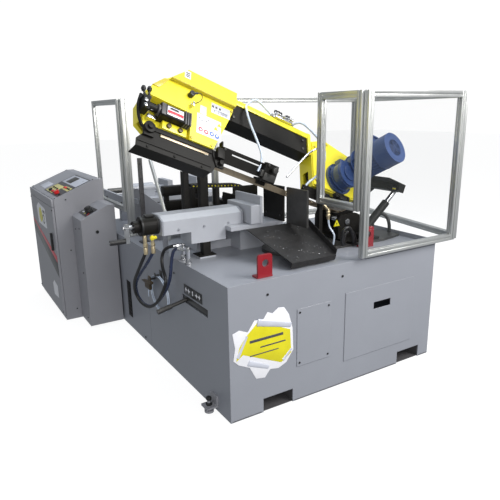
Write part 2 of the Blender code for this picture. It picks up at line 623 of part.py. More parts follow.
def gear_motor():
    """A flange on the drive cover, an offset gear case and a motor whose axis is square to the wheels."""
    t = WHEEL_T
    driven = wheel("drive_wheel", DRIVE_S, bored=False)
    unite(driven, rod("drive_shaft", (DRIVE_S, -0.078, t), (DRIVE_S, 0.024, t), 0.022, WHEEL_PLANE, sides=24,
                      helper=True))
    motor_s, motor_t = DRIVE_S + 0.100, t + 0.085
    case = rod("gear_case", (DRIVE_S, -0.0664, t), (DRIVE_S, -0.085, t), 0.105, WHEEL_PLANE, BLUE_PAINT,
               sides=32)
    lower = rod("gear_lower", (DRIVE_S, -0.080, t), (DRIVE_S, -0.170, t), 0.085, WHEEL_PLANE, sides=32,
                helper=True)
    upper = rod("gear_upper", (motor_s, -0.080, motor_t), (motor_s, -0.190, motor_t), 0.085, WHEEL_PLANE,
                sides=32, helper=True)
    bore = rod("gear_bore", (DRIVE_S, 0, t), (DRIVE_S, -0.080, t), 0.0232, WHEEL_PLANE, sides=24, helper=True)
    unite(case, lower, upper)
    cut(case, bore)
    body = rod("motor", (motor_s, -0.1905, motor_t), (motor_s, -0.360, motor_t), 0.088, WHEEL_PLANE,
               BLUE_PAINT, sides=32)
    cowl = rod("motor_cowl", (motor_s, -0.350, motor_t), (motor_s, -0.455, motor_t), 0.098, WHEEL_PLANE,
               sides=32, helper=True)
    hollow = rod("cowl_hollow", (motor_s, -0.385, motor_t), (motor_s, -0.452, motor_t), 0.094, WHEEL_PLANE,
                 sides=32, helper=True)
    inlet = rod("cowl_inlet", (motor_s, -0.44, motor_t), (motor_s, -0.50, motor_t), 0.055, WHEEL_PLANE,
                sides=24, helper=True)
    terminal = box("terminal_box", (motor_s - 0.055, -0.320, motor_t + 0.070),
                   (motor_s + 0.055, -0.215, motor_t + 0.135), WHEEL_PLANE, helper=True)
    unite(body, cowl, terminal)
    cut(body, hollow, inlet)
    fan = rod("motor_fan", (motor_s, -0.400, motor_t), (motor_s, -0.435, motor_t), 0.030, WHEEL_PLANE, DARK,
              sides=16)
    blades = [
        box(f"fan_blade_{i}", (0.02, -0.017, -0.002), (0.085, 0.017, 0.002), WHEEL_PLANE,
            helper=True) for i in range(5)
    ]
    for i, blade_obj in enumerate(blades):
        angle = math.tau * i / 5
        blade_obj.location = (motor_s + 0.0525 * math.cos(angle), -0.417, motor_t + 0.0525 * math.sin(angle))
        blade_obj.rotation_euler = (0, -angle, 0)
    spindle = rod("fan_spindle", (motor_s, -0.3854, motor_t), (motor_s, -0.41, motor_t), 0.012, WHEEL_PLANE,
                  sides=12, helper=True)
    unite(fan, *blades, spindle)


def lift_arm():
    """Bow steel below the drive housing: the pivot knuckle and the arm out to the lift cylinder."""
    outline = [
        *arc(PIVOT_S, PIVOT_W, 0.036, 170, 350, 8), (0.650, -0.020), (0.715, 0.150), (0.800, 0.255), (0.800,
                                                                                                      0.312),
        (0.745, 0.312), (0.660, 0.160), (0.610, 0.040), (0.480, 0.030),
    ]  # fmt: skip
    knuckle = plate("lift_arm", outline, 0.100, 0.150, "y", BLADE_LINE, BLACK_PAINT,
                    holes=[ring(PIVOT_S, PIVOT_W, 0.0204, 20)])  # fmt: skip
    s, w = LIFT_PIN
    cross = box("lift_cross", (s - 0.03, -0.165, w - 0.028), (s + 0.026, 0.120, w + 0.026), BLADE_LINE,
                helper=True)
    gap = box("lift_fork", (s - 0.10, -0.142, w - 0.10), (s + 0.10, -0.098, w + 0.10), BLADE_LINE,
              helper=True)
    gap_b = box("lift_clear", (s - 0.10, -0.0975, w - 0.10), (s + 0.10, -0.070, w - 0.018), BLADE_LINE,
                helper=True)
    skin = box("lift_skin", (s - 0.14, -0.165, w + 0.0185), (s + 0.026, 0.102, w + 0.026), BLADE_LINE,
               helper=True)
    pin = rod("lift_pin", (s, -0.150, w - 0.008), (s, -0.090, w - 0.008), 0.009, BLADE_LINE, sides=12,
              helper=True)
    unite(knuckle, cross)
    cut(knuckle, gap, gap_b)
    unite(knuckle, pin, skin)


def lift_cylinder():
    """A barrel hinged on the turntable arm and a rod whose eye has play on the lift arm's pin."""
    foot, top = Vector(FOOT), Vector(ROD_TOP)
    length = (top - foot).length
    angle = math.atan2(top.z - foot.z, top.x - foot.x)
    axis = empty("lift_axis", TURNTABLE, foot - Vector((*TURN_CENTRE, 0)), (0, -angle, 0))
    barrel = rod("lift_barrel", (0.045, 0, 0), (0.300, 0, 0), 0.026, axis, BLACK_PAINT, sides=20)
    eye = rod("barrel_eye", (0, -0.014, 0), (0, 0.014, 0), 0.022, axis, sides=20, helper=True)
    neck = box("barrel_neck", (0, -0.012, -0.012), (0.055, 0.012, 0.012), axis, helper=True)
    hole = rod("barrel_hole", (0, -0.1, 0), (0, 0.1, 0), 0.0105, axis, sides=12, helper=True)
    bore = rod("barrel_bore", (0.070, 0, 0), (0.400, 0, 0), 0.0155, axis, sides=16, helper=True)
    unite(barrel, eye, neck)
    cut(barrel, hole, bore)
    piston = rod("lift_rod", (0.150, 0, 0), (length - 0.015, 0, 0), 0.015, axis, BRIGHT, sides=16)
    rod_eye = rod("rod_eye", (length, -0.016, 0), (length, 0.016, 0), 0.024, axis, sides=20, helper=True)
    play = rod("rod_play", (length, -0.1, 0), (length, 0.1, 0), 0.0118, axis, sides=16, helper=True)
    unite(piston, rod_eye)
    cut(piston, play)


def pivot_bracket():
    """Two cheeks on a base plate; the front one carries the foot of the lift cylinder."""
    cx, cy = TURN_CENTRE
    px, pz = PIVOT[0] - cx, PIVOT[2]
    base_z = BASE_H + 0.0164
    cheek = [(px - 0.075, base_z), (px + 0.180, base_z), (px + 0.180, pz), (px + 0.080, pz + 0.048),
             (px - 0.060, pz + 0.048), (px - 0.075, pz + 0.02)]
    front = plate("pivot_bracket", cheek, -0.048, -0.023, "y", TURNTABLE, BLACK_PAINT,
                  holes=[ring(px, pz, 0.0204, 20)])
    rear = plate("rear_cheek", cheek, 0.165, 0.190, "y", TURNTABLE, holes=[ring(px, pz, 0.0204, 20)],
                 helper=True)
    foot = box("bracket_foot", (px - 0.075, -0.160, base_z), (px + 0.180, 0.190, base_z + 0.012), TURNTABLE,
               helper=True)
    fx, fy, fz = FOOT[0] - cx, FOOT[1] - cy, FOOT[2]
    ears = [
        box(f"foot_ear_{i}", (fx - 0.024, y, base_z), (fx + 0.024, y + 0.010, fz + 0.020), TURNTABLE,
            helper=True)
        for i, y in enumerate((fy - 0.0255, fy + 0.0155))
    ]
    foot_pin = rod("foot_pin", (fx, fy - 0.030, fz), (fx, fy + 0.030, fz), 0.0098, TURNTABLE, sides=12,
                   helper=True)
    well = box("foot_well", (fx - 0.040, fy - 0.0150, base_z + 0.0006),
               (fx + 0.040, fy + 0.0150, base_z + 0.05), TURNTABLE, helper=True)
    unite(front, rear, foot)
    cut(front, well)
    unite(front, *ears, foot_pin)
    rod("pivot_pin", (px, -0.054, pz), (px, 0.196, pz), 0.020, TURNTABLE, BRIGHT, sides=20)


def blade_guides():
    """Everything that holds or hides the lower run: guard channel, rail, moving arm and fixed arm."""
    window = [(-0.870, 0.004), (-0.580, 0.004), (-0.580, 0.018), (-0.870, 0.018)]
    outline = [
        (-0.990, -0.088), (-0.560, -0.088), (-0.535, -0.045), (-0.4955, -0.045), (-0.4955, 0.030), (-0.560,
                                                                                                    0.036),
        (-0.930, 0.036), (-0.950, 0.000), (-0.990, -0.047),
    ]  # fmt: skip
    guard = plate("blade_guard", outline, -0.064, -0.058, "y", WHEEL_PLANE, BLACK_PAINT, holes=[window])
    floor = box("guard_floor", (-0.988, -0.062, -0.087), (-0.562, 0.020, -0.082), WHEEL_PLANE, helper=True)
    unite(guard, floor)
    slot = [(-0.450, 0.082), (-0.250, 0.082), (-0.250, 0.092), (-0.450, 0.092)]
    rail = [(-0.510, 0.030), (-0.130, 0.030), (-0.130, 0.110), (-0.510, 0.110)]
    bar = plate("guide_rail", rail, -0.055, -0.030, "y", BLADE_LINE, holes=[slot], helper=True)
    unite(guard, bar)

    arm = box("guide_arm_moving", (-0.240, -0.085, 0.0125), (-0.150, -0.0553, 0.118), BLADE_LINE, BLACK_PAINT,
              bevel=0.003)
    bridge = box("moving_bridge", (-0.230, -0.080, 0.0130), (-0.160, 0.020, 0.0290), BLADE_LINE, helper=True)
    shoe = box("moving_shoe", (-0.225, -0.0165, -0.006), (-0.165, 0.028, 0.0285), BLADE_LINE, helper=True)
    kerf = box("moving_kerf", (-0.3, -0.0028, -0.05), (-0.1, 0.0028, 0.0185), BLADE_LINE, helper=True)
    knob = rod("moving_knob", (-0.195, -0.084, 0.085), (-0.195, -0.115, 0.085), 0.014, BLADE_LINE, sides=12,
               helper=True)
    unite(arm, bridge, shoe, knob)
    cut(arm, kerf)

    fixed = box("guide_arm_fixed", (0.085, -0.052, 0.022), (0.300, -0.027, 0.085), BLADE_LINE, BLACK_PAINT,
                bevel=0.003)
    bridge = box("fixed_bridge", (0.088, -0.050, 0.0130), (0.132, 0.020, 0.0290), BLADE_LINE, helper=True)
    shoe = box("fixed_shoe", (0.085, -0.0165, -0.006), (0.135, 0.028, 0.0285), BLADE_LINE, helper=True)
    kerf = box("fixed_kerf", (0.0, -0.0028, -0.05), (0.2, 0.0028, 0.0185), BLADE_LINE, helper=True)
    unite(fixed, bridge, shoe)
    cut(fixed, kerf)


# ---------------------------------------------------------------- hoses
def hoses():
    """Two hydraulic hoses that hang in a U from the clamping cylinder and come back up to the base's top."""
    hose_r = 0.0095
    first = [
        (PORT_XS[1], VISE_Y, PORT_Z - 0.0005), (PORT_XS[1], VISE_Y, 0.820), (-0.150, 0.670, 0.745),
        (-0.170, 0.823, 0.599), (-0.150, 0.900, 0.489), (-0.130, 0.862, 0.431), (-0.110, 0.782, 0.430),
        (-0.090, 0.700, 0.482), (-0.070, 0.616, 0.574), (-0.055, 0.581, 0.655), (-0.045, 0.578, 0.732),
        (-0.040, 0.566, 0.790), (-0.034, 0.545, 0.828), (-0.0227, ELBOW[1] + 0.0450, ELBOW_Z),
        (-0.0096, ELBOW[1] + 0.0311, ELBOW_Z),
    ]  # fmt: skip
    second = [
        (PORT_XS[0], VISE_Y, PORT_Z - 0.0005), (PORT_XS[0], VISE_Y, 0.820), (-0.196, 0.655, 0.745),
        (-0.200, 0.780, 0.607), (-0.172, 0.858, 0.506), (-0.150, 0.826, 0.446), (-0.132, 0.740, 0.443),
        (-0.113, 0.655, 0.497), (-0.100, 0.580, 0.590), (-0.090, 0.560, 0.655), (-0.080, 0.620, 0.706),
        (-0.066, 0.662, 0.756), (-0.054, 0.645, 0.807), (-0.036, 0.606, 0.832), (-0.0245, UNION[1] + 0.0125,
                                                                                 ELBOW_Z),
        (-0.0048, UNION[1] + 0.0083, ELBOW_Z),
    ]  # fmt: skip
    for name, places in (("hydraulic_hose_1", first), ("hydraulic_hose_2", second)):
        tube(name, smooth_route(places, 0.024), hose_r)


def conduit():
    """The power conduit arches off the turntable's arm and back to it, beside the lift cylinder."""
    z = BASE_H + 0.0164
    cx, cy = TURN_CENTRE
    places = [
        (1.300, 0.352, z), (1.300, 0.352, z + 0.030), (1.310, 0.356, 0.840), (1.350, 0.373, 0.885),
        (1.410, 0.385, 0.897), (1.450, 0.372, 0.878), (1.463, 0.358, 0.840), (1.466, 0.352, z + 0.035),
        (1.466, 0.352, z),
    ]  # fmt: skip
    tube("power_conduit", smooth_route([(x - cx, y - cy, h) for x, y, h in places], 0.022), 0.012, TURNTABLE)


def air_line():
    """A coil of air hose on the base's left face, and the blow gun that hangs in front of it."""
    y, z, half_w, half_h, band = 0.860, 0.470, 0.160, 0.130, 0.030

    def oval(w, h, steps):
        return [(y + w * math.cos(math.tau * i / steps),
                 z + h * math.sin(math.tau * i / steps)) for i in range(steps)]

    plate("air_hose_coil", oval(half_w, half_h, 32), -0.036, -0.0004, "x", paint=LIGHT_PAINT,
          holes=[oval(half_w - band, half_h - band, 28)])  # fmt: skip
    gun_z = 0.520
    gun = rod("air_gun", (-0.056, 0.880, gun_z + 0.022), (-0.056, 1.055, gun_z - 0.004), 0.012, paint=DARK,
              sides=16)
    handle = box("air_gun_handle", (-0.066, 0.905, gun_z - 0.035), (-0.046, 0.990, gun_z + 0.015),
                 helper=True)
    lever = box("air_gun_lever", (-0.060, 0.900, gun_z + 0.012), (-0.052, 0.935, gun_z + 0.060), helper=True)
    unite(gun, handle, lever)


# ---------------------------------------------------------------- guards
def framed_pane(name, outline, low, high, axis, rotation=0, origin=(0, 0, 0), rails=(), helper=False):
    """A profile frame with a thin pane filling it; outline is (a0, b0, a1, b1) in the panel's plane."""
    a0, b0, a1, b1 = outline
    frame = [(a0, b0), (a1, b0), (a1, b1), (a0, b1)]
    hole = [(a0 + PROFILE, b0 + PROFILE), (a1 - PROFILE, b0 + PROFILE), (a1 - PROFILE, b1 - PROFILE),
            (a0 + PROFILE, b1 - PROFILE)]
    mount = empty(name + "_place", ROOT, origin, (0, 0, rotation))
    body = plate(name, frame, low, high, axis, mount, PROFILE_METAL, holes=[hole], helper=helper)
    middle = (low + high) / 2
    pane = plate(name + "_pane", [(a0 + 0.01, b0 + 0.01), (a1 - 0.01, b0 + 0.01), (a1 - 0.01, b1 - 0.01),
                                  (a0 + 0.01, b1 - 0.01)],
                 middle - 0.002, middle + 0.002, axis, mount, helper=True)  # fmt: skip
    unite(body, pane, *rails)
    return body


def guards():
    z0, z1 = GUARD_Z0, GUARD_Z1
    front = framed_pane("guard_front", (0.850, z0, 1.642, z1), -0.0365, -0.0003, "y")
    side_post = box("side_post", (0.832, 0.327, BASE_H + GAP), (0.868, 0.363, 1.04), helper=True)
    side = framed_pane("guard_side", (-0.010, 1.030, 0.363, z1), 0.832, 0.868, "x", rails=[side_post],
                       helper=True)
    unite(front, side)
    rear_y = 1.150
    posts = [
        box(f"rear_post_{i}", (x, rear_y, REAR_H + GAP), (x + PROFILE, rear_y + 0.036, z0 + 0.02),
            helper=True)
        for i, x in enumerate((0.550, 0.800))
    ]
    rear = framed_pane("guard_rear", (0.550, z0, 1.890, z1), rear_y, rear_y + 0.036, "y", rails=posts)
    start, end = Vector((1.6425, -0.018)), Vector((1.862, rear_y - 0.010))
    run = (end - start).length
    angle = math.atan2(end.y - start.y, end.x - start.x)
    right = framed_pane("guard_right", (0.002, z0, run + 0.02, z1), -0.036, 0.0, "y", angle,
                        (start.x + 0.001, start.y, 0), helper=True)
    unite(rear, right)

    post_y = 1.549
    framed_pane("guard_infeed", (1.594, 0.875, 2.240, z1), 0.040, 0.068, "x")
    post = box("guard_post", (0.052, post_y - 0.003, REAR_H + GAP), (0.098, post_y + 0.043, z1),
               paint=PROFILE_METAL)
    bracket = box("post_foot", (0.030, post_y - 0.019, REAR_H + GAP), (0.120, post_y + 0.059, REAR_H + 0.010),
                  helper=True)
    unite(post, bracket)


# ---------------------------------------------------------------- controls
def cabinet():
    """The electrical cabinet at the left rear, with a sloped desk and a door on its outer side."""
    x0, x1, y0, y1 = -0.386, -0.012, 1.944, 2.850
    wall = 0.004
    section = [(x0, 0), (x1, 0), (x1, 1.089), (x1 - 0.062, 1.089), (x0, 0.964)]
    body = plate("control_cabinet", section, y0, y1, "y")
    inner = [(x0 - 0.05, 0.03), (x1 - wall, 0.03), (x1 - wall, 1.07), (x1 - 0.065, 1.07), (x0 - 0.05, 0.930)]
    hollow = plate("cabinet_hollow", inner, y0 + wall + 0.02, y1 - wall - 0.02, "y", helper=True)
    cut(body, hollow)
    box("cabinet_door", (x0 - 0.018, y0 + 0.006, 0.040), (x0 - 0.0005, y1 - 0.006, 0.900), bevel=0.002)
    hz = 0.62
    box("door_handle", (x0 - 0.034, y0 + 0.100, hz - 0.07), (x0 - 0.0184, y0 + 0.128, hz + 0.07),
        paint=BLACK_PAINT, bevel=0.004)
    slope = math.atan2(1.089 - 0.964, x1 - 0.062 - x0)
    desk = empty("desk", ROOT, (x0, y0, 0.964), (0, -slope, 0))
    for name, u, v, radius, height, paint in (
        ("emergency_stop", 0.060, 0.120, 0.020, 0.030, RED_PAINT),
        ("start_button", 0.060, 0.220, 0.013, 0.012, BLACK_PAINT),
        ("stop_button", 0.060, 0.280, 0.013, 0.012, RED_PAINT),
        ("mode_selector", 0.060, 0.345, 0.015, 0.020, BLACK_PAINT),
    ):
        socket = rod(name + "_socket", (u, v, -0.05), (u, v, 0.05), radius * 0.55 + 0.0004, desk, sides=16,
                     helper=True)
        cut(body, socket)
        head = rod(name, (u, v, 0.006), (u, v, height), radius, desk, paint, sides=20)
        stem = rod(name + "_stem", (u, v, -0.018), (u, v, 0.010), radius * 0.55, desk, sides=16, helper=True)
        unite(head, stem)


def side_box():
    x0, x1, y0, y1 = -0.266, -0.012, 1.680, 1.9435
    section = [(x0, 0.012), (x1, 0.012), (x1, 0.926), (x1 - 0.05, 0.926), (x0, 0.830)]
    body = plate("side_box", section, y0, y1, "y")
    hollow = plate("side_hollow", [(x0 + SHEET, -0.1), (x1 - SHEET, -0.1), (x1 - SHEET, 0.9),
                                   (x0 + SHEET, 0.81)],
                   y0 + SHEET, y1 - SHEET, "y", helper=True)  # fmt: skip
    slope = math.atan2(0.096, x1 - 0.05 - x0)
    top = empty("side_top", ROOT, (x0, y0, 0.830), (0, -slope, 0))
    socket = rod("flow_socket", (0.10, 0.08, -0.05), (0.10, 0.08, 0.05), 0.0084, top, sides=12, helper=True)
    cut(body, hollow, socket)
    knob = rod("flow_knob", (0.10, 0.08, 0.0006), (0.10, 0.08, 0.032), 0.021, top, BLACK_PAINT, sides=16)
    stem = rod("flow_stem", (0.10, 0.08, -0.012), (0.10, 0.08, 0.002), 0.008, top, sides=12, helper=True)
    pointer = box("flow_pointer", (0.097, 0.060, 0.03), (0.103, 0.100, 0.036), top, helper=True)
    unite(knob, stem, pointer)


# ---------------------------------------------------------------- infeed
def infeed():
    """Side rails on the rear base, three rollers and the feed carriage that runs on the rails."""
    y0, y1 = 1.200, 2.820
    frame = box("infeed_frame", (0.180, y0, 0.800), (0.200, y1, 0.915), paint=LIGHT_PAINT)
    second_rail = box("infeed_rail", (0.800, y0, 0.800), (0.820, y1, 0.915), helper=True)
    cross = [
        box(f"infeed_cross_{i}", (0.185, y, 0.805), (0.815, y + 0.03, 0.835),
            helper=True) for i, y in enumerate((1.22, 1.90, 2.76))
    ]
    legs = [
        box(f"infeed_leg_{i}", (x, y, REAR_H + GAP), (x + 0.05, y + 0.05, 0.82), helper=True)
        for i, (x, y) in enumerate(((0.185, 1.22), (0.765, 1.22), (0.185, 2.15), (0.765, 2.15)))
    ]
    far = [box(f"infeed_far_leg_{i}", (x, 2.745, 0), (x + 0.05, 2.795, 0.82), helper=True) for i,
           x in enumerate((0.185, 0.765))]
    holes = [rod(f"roller_seat_{i}", (0.1, y, 0.900), (0.9, y, 0.900), 0.0105, sides=12, helper=True) for i,
             y in enumerate(ROLLERS)]
    unite(frame, second_rail, *cross, *legs, *far)
    cut(frame, *holes)
    for i, y in enumerate(ROLLERS):
        roller = rod(f"infeed_roller_{i + 1}", (0.205, y, 0.900), (0.795, y, 0.900), 0.025, paint=DARK,
                     sides=24)
        axle = rod(f"roller_axle_{i}", (0.183, y, 0.900), (0.817, y, 0.900), 0.010, sides=12, helper=True)
        unite(roller, axle)



def feed_carriage():
    y0, y1 = 1.640, 1.900
    body = box("feed_carriage", (0.150, y0, 0.9155), (0.850, y1, 0.950), paint=LIGHT_PAINT)
    jaw = box("feed_jaw", (0.660, y0 + 0.02, 0.94), (0.700, y1 - 0.02, 1.080), helper=True)
    cylinder = rod("feed_cylinder", (0.160, 1.77, 1.010), (0.330, 1.77, 1.010), 0.045, sides=24, helper=True)
    saddle = box("feed_saddle", (0.160, 1.72, 0.94), (0.330, 1.82, 1.0), helper=True)
    unite(body, jaw, cylinder, saddle)
    moving = box("feed_jaw_moving", (0.420, y0 + 0.03, 0.9505), (0.460, y1 - 0.03, 1.070), helper=True)
    ram = rod("feed_ram", (0.300, 1.77, 1.010), (0.430, 1.77, 1.010), 0.020, sides=16, helper=True)
    unite(body, moving, ram)


base_cabinet()
front_panels()
rear_base()
levelling_foot()
lifting_lug("lifting_lug_front", 0.196, 0.030, 0.125)
lifting_lug("lifting_lug_rear", 1.060, 0.180, 0.130)
mitre_lever()
cutting_table()
fixed_jaw()
turntable_parts()
outfeed_chute()
vise()
blade()
idler_group()
beam()
drive_group()
gear_motor()
lift_arm()
lift_cylinder()
pivot_bracket()
blade_guides()
hoses()
conduit()
air_line()
guards()
cabinet()
side_box()
infeed()
feed_carriage()
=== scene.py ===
"""The looks of a horizontal band saw: materials, panes, hoses, labels and fittings over its CAD frame.

Lengths are metres. Most pieces are laid out in the machine frame, whose zero is the front left bottom
corner of the base, or in the bow's own frames, which are worked out from the bow's joint.
"""

import json
import math

import bmesh
import bpy
from mathutils import Matrix, Vector


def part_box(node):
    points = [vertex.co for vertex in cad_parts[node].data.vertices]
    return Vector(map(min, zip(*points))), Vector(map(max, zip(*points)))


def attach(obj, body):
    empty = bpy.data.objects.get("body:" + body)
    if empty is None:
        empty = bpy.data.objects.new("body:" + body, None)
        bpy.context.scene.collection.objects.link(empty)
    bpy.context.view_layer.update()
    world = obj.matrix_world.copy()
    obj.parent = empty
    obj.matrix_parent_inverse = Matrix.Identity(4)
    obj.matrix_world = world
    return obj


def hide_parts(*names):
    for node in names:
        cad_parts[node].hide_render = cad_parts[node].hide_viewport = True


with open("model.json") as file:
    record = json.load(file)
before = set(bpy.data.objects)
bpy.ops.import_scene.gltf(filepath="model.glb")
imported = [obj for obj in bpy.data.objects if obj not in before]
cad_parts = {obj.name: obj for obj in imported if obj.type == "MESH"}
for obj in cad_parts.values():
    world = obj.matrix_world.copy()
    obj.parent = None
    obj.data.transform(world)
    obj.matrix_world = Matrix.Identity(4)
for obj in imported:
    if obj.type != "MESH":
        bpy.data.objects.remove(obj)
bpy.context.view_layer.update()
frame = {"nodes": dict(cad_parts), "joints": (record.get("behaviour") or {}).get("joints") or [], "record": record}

# ---------------------------------------------------------------- frames of reference
REAR_BASE_FRONT = 1.111
BASE_H, REAR_H, BED_Z = 0.75, 0.7, 0.925
POCKET_XS, POCKET_W, POCKET_H, LINER_T = (0.203, 1.22), 0.195, 0.0815, 0.003
FOOT = (-0.04, 0.17)
HOSE_R, AIR_HOSE_R, COOLANT_HOSE_R, SPRAY_R = 0.0095, 0.004, 0.0068, 0.0058
BOW_ANGLE, WHEEL_TILT = math.radians(22), math.radians(30)
DRIVE_S, WHEEL_T = 0.4, 0.196
BLADE_OFFSET = Vector((-0.5119, 0.0, 0.0337))
VISE_Y, VISE_Z = 0.62, 0.969
PROFILE = 0.038

JOINTS = {joint["name"]: joint for joint in frame["joints"]}
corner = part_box("rear_base")[0]
ZERO = Vector((corner.x, corner.y - REAR_BASE_FRONT, 0))
MACHINE = Matrix.Translation(ZERO)
PIVOT = Vector(JOINTS["bow_lift"]["pos_m"])
TURNTABLE = Matrix.Translation((JOINTS["mitre"]["pos_m"][0], JOINTS["mitre"]["pos_m"][1], 0))
BLADE_LINE = Matrix.Translation(PIVOT) @ Matrix.Rotation(BOW_ANGLE, 4, "Y") @ Matrix.Translation(BLADE_OFFSET)
WHEEL_PLANE = BLADE_LINE @ Matrix.Rotation(-WHEEL_TILT, 4, "X")
DESK_SLOPE = math.atan2(0.125, 0.312)
DESK = MACHINE @ Matrix.Translation((-0.386, 1.944, 0.964)) @ Matrix.Rotation(-DESK_SLOPE, 4, "Y")
SIDE_TOP_SLOPE = math.atan2(0.096, 0.204)
SIDE_TOP = MACHINE @ Matrix.Translation((-0.266, 1.68, 0.83)) @ Matrix.Rotation(-SIDE_TOP_SLOPE, 4, "Y")


# ---------------------------------------------------------------- camera
def camera():
    """The viewpoint solved for the machine, whose near corner is the frame's zero."""
    place = Vector((-1.1471, -2.0802, 1.5708)) + ZERO
    forward = Vector((0.50616, 0.82312, -0.25742)).normalized()
    up = Vector((0.1481, 0.2111, 0.9662))
    right = forward.cross(up).normalized()
    up = right.cross(forward)
    data = bpy.data.cameras.new("camera")
    data.lens = 37.2
    data.sensor_width = 36
    data.clip_start = 0.05
    seen_from = bpy.data.objects.new("camera", data)
    turn = Matrix((right, up, -forward)).transposed().to_4x4()
    seen_from.matrix_world = Matrix.Translation(place) @ turn
    bpy.context.scene.collection.objects.link(seen_from)
    bpy.context.scene.camera = seen_from


# ---------------------------------------------------------------- materials
SURFACES = {}


def node(tree, kind, **inputs):
    made = tree.nodes.new(kind)
    for name, value in inputs.items():
        made.inputs[name].default_value = value
    return made


def surface(
    name, colour, rough=0.4, metal=0.0, coat=0.0, vary=0.06, grain=0.0, scale=9.0, bump_scale=300.0,
    streak=None, edge=0.002, alpha=1.0, stains=0.0, shine=0.5,
):
    """A Principled surface with cloudy colour and roughness, a fine bump and softly rounded edges."""
    made = bpy.data.materials.new(name)
    SURFACES[name] = made
    made.use_nodes = True
    tree = made.node_tree
    link = tree.links.new
    shader = tree.nodes["Principled BSDF"]
    shader.inputs["Metallic"].default_value = metal
    shader.inputs["Coat Weight"].default_value = coat
    shader.inputs["Coat Roughness"].default_value = 0.15
    shader.inputs["Alpha"].default_value = alpha
    shader.inputs["Specular IOR Level"].default_value = shine
    made.diffuse_color = (*colour, 1)
    place = node(tree, "ShaderNodeTexCoord")
    cloud = node(tree, "ShaderNodeTexNoise", Scale=scale, Detail=6.0, Roughness=0.6)
    if streak:
        stretch = node(tree, "ShaderNodeMapping", Scale=streak)
        link(place.outputs["Object"], stretch.inputs["Vector"])
        link(stretch.outputs["Vector"], cloud.inputs["Vector"])
    else:
        link(place.outputs["Object"], cloud.inputs["Vector"])
    tones = node(tree, "ShaderNodeValToRGB")
    tones.color_ramp.elements[0].position = 0.3
    tones.color_ramp.elements[1].position = 0.7
    tones.color_ramp.elements[0].color = (*[c * (1 - vary) for c in colour], 1)
    tones.color_ramp.elements[1].color = (*[min(1, c * (1 + vary)) for c in colour], 1)
    link(cloud.outputs["Fac"], tones.inputs["Fac"])
    colour_out = tones.outputs["Color"]
    if stains:
        spots = node(tree, "ShaderNodeTexNoise", Scale=38.0, Detail=9.0, Roughness=0.75)
        link(place.outputs["Object"], spots.inputs["Vector"])
        mask = node(tree, "ShaderNodeValToRGB")
        mask.color_ramp.elements[0].position = 0.6
        mask.color_ramp.elements[1].position = 0.74
        link(spots.outputs["Fac"], mask.inputs["Fac"])
        blend = tree.nodes.new("ShaderNodeMix")
        blend.data_type = "RGBA"
        blend.inputs["B"].default_value = (*[c * (1 - stains) for c in colour], 1)
        link(mask.outputs["Color"], blend.inputs["Factor"])
        link(colour_out, blend.inputs["A"])
        colour_out = blend.outputs["Result"]
    link(colour_out, shader.inputs["Base Color"])
    gloss = node(tree, "ShaderNodeMapRange")
    gloss.inputs["To Min"].default_value = max(0.04, rough - 0.07)
    gloss.inputs["To Max"].default_value = min(1, rough + 0.07)
    link(cloud.outputs["Fac"], gloss.inputs["Value"])
    link(gloss.outputs["Result"], shader.inputs["Roughness"])
    round_edge = node(tree, "ShaderNodeBevel", Radius=edge)
    round_edge.samples = 4
    normal = round_edge.outputs["Normal"]
    if grain:
        texture = node(tree, "ShaderNodeTexNoise", Scale=bump_scale, Detail=3.0)
        link(place.outputs["Object"], texture.inputs["Vector"])
        relief = node(tree, "ShaderNodeBump", Strength=grain, Distance=0.001)
        link(texture.outputs["Fac"], relief.inputs["Height"])
        link(normal, relief.inputs["Normal"])
        normal = relief.outputs["Normal"]
    link(normal, shader.inputs["Normal"])
    return made


GREY = surface("grey_paint", (0.27, 0.282, 0.318), 0.42, coat=0.15, vary=0.03, grain=0.1, scale=2.5,
               edge=0.004)
surface("light_grey_paint", (0.4, 0.415, 0.455), 0.38, coat=0.2, vary=0.05, grain=0.1, scale=5)
CABINET_GREY = surface("cabinet_grey", (0.285, 0.285, 0.31), 0.42, coat=0.15, vary=0.03, grain=0.08, scale=3)
BLACK = surface("black_paint", (0.0105, 0.0098, 0.0088), 0.46, shine=0.18, vary=0.18, grain=0.18, scale=12,
                stains=0.4)
surface("chute_coat", (0.022, 0.021, 0.021), 0.46, shine=0.25, vary=0.3, grain=0.7, bump_scale=160,
        scale=26, stains=0.5)
IRON = surface("dark_steel", (0.085, 0.083, 0.08), 0.38, metal=0.7, vary=0.2, grain=0.15, scale=20)
BRIGHT = surface("bright_steel", (0.62, 0.62, 0.63), 0.22, metal=1.0, vary=0.06, grain=0.08, scale=30)
BAND = surface("blade_steel", (0.4, 0.33, 0.24), 0.36, metal=0.9, vary=0.14, streak=(60, 60, 4), edge=0.0005)
YELLOW = surface("yellow_paint", (0.91, 0.79, 0.035), 0.32, coat=0.35, vary=0.025, grain=0.07, scale=4,
                 edge=0.003)
# yellow paint darkened as painted shade, for creases and shaded strips and bolts on the yellow covers
YELLOW_PAINTED_SHADE = surface("yellow_shade", (0.52, 0.43, 0.03), 0.36, coat=0.3, vary=0.05, grain=0.07, scale=6)
BLUE = surface("blue_paint", (0.028, 0.062, 0.185), 0.38, coat=0.3, vary=0.14, grain=0.22, bump_scale=140,
               scale=14)
surface("red_paint", (0.24, 0.003, 0.01), 0.36, coat=0.3, vary=0.06, grain=0.08, scale=14)
ALUMINIUM = surface("aluminium_profile", (0.6, 0.61, 0.6), 0.34, metal=0.75, vary=0.05, grain=0.06, scale=9,
                    streak=(1, 1, 0.1))
RUBBER = surface("rubber", (0.012, 0.012, 0.013), 0.36, vary=0.15, grain=0.15, bump_scale=500, scale=30)
# black rubber tinted blue all over as a painted blue sheen
RUBBER_PAINTED_BLUE_SHEEN = surface("blue_sheen_rubber", (0.02, 0.03, 0.075), 0.28, coat=0.4, vary=0.2, grain=0.1, scale=30)
CLEAR_HOSE = surface("clear_hose", (0.6, 0.68, 0.8), 0.2, coat=0.5, vary=0.1, scale=40)
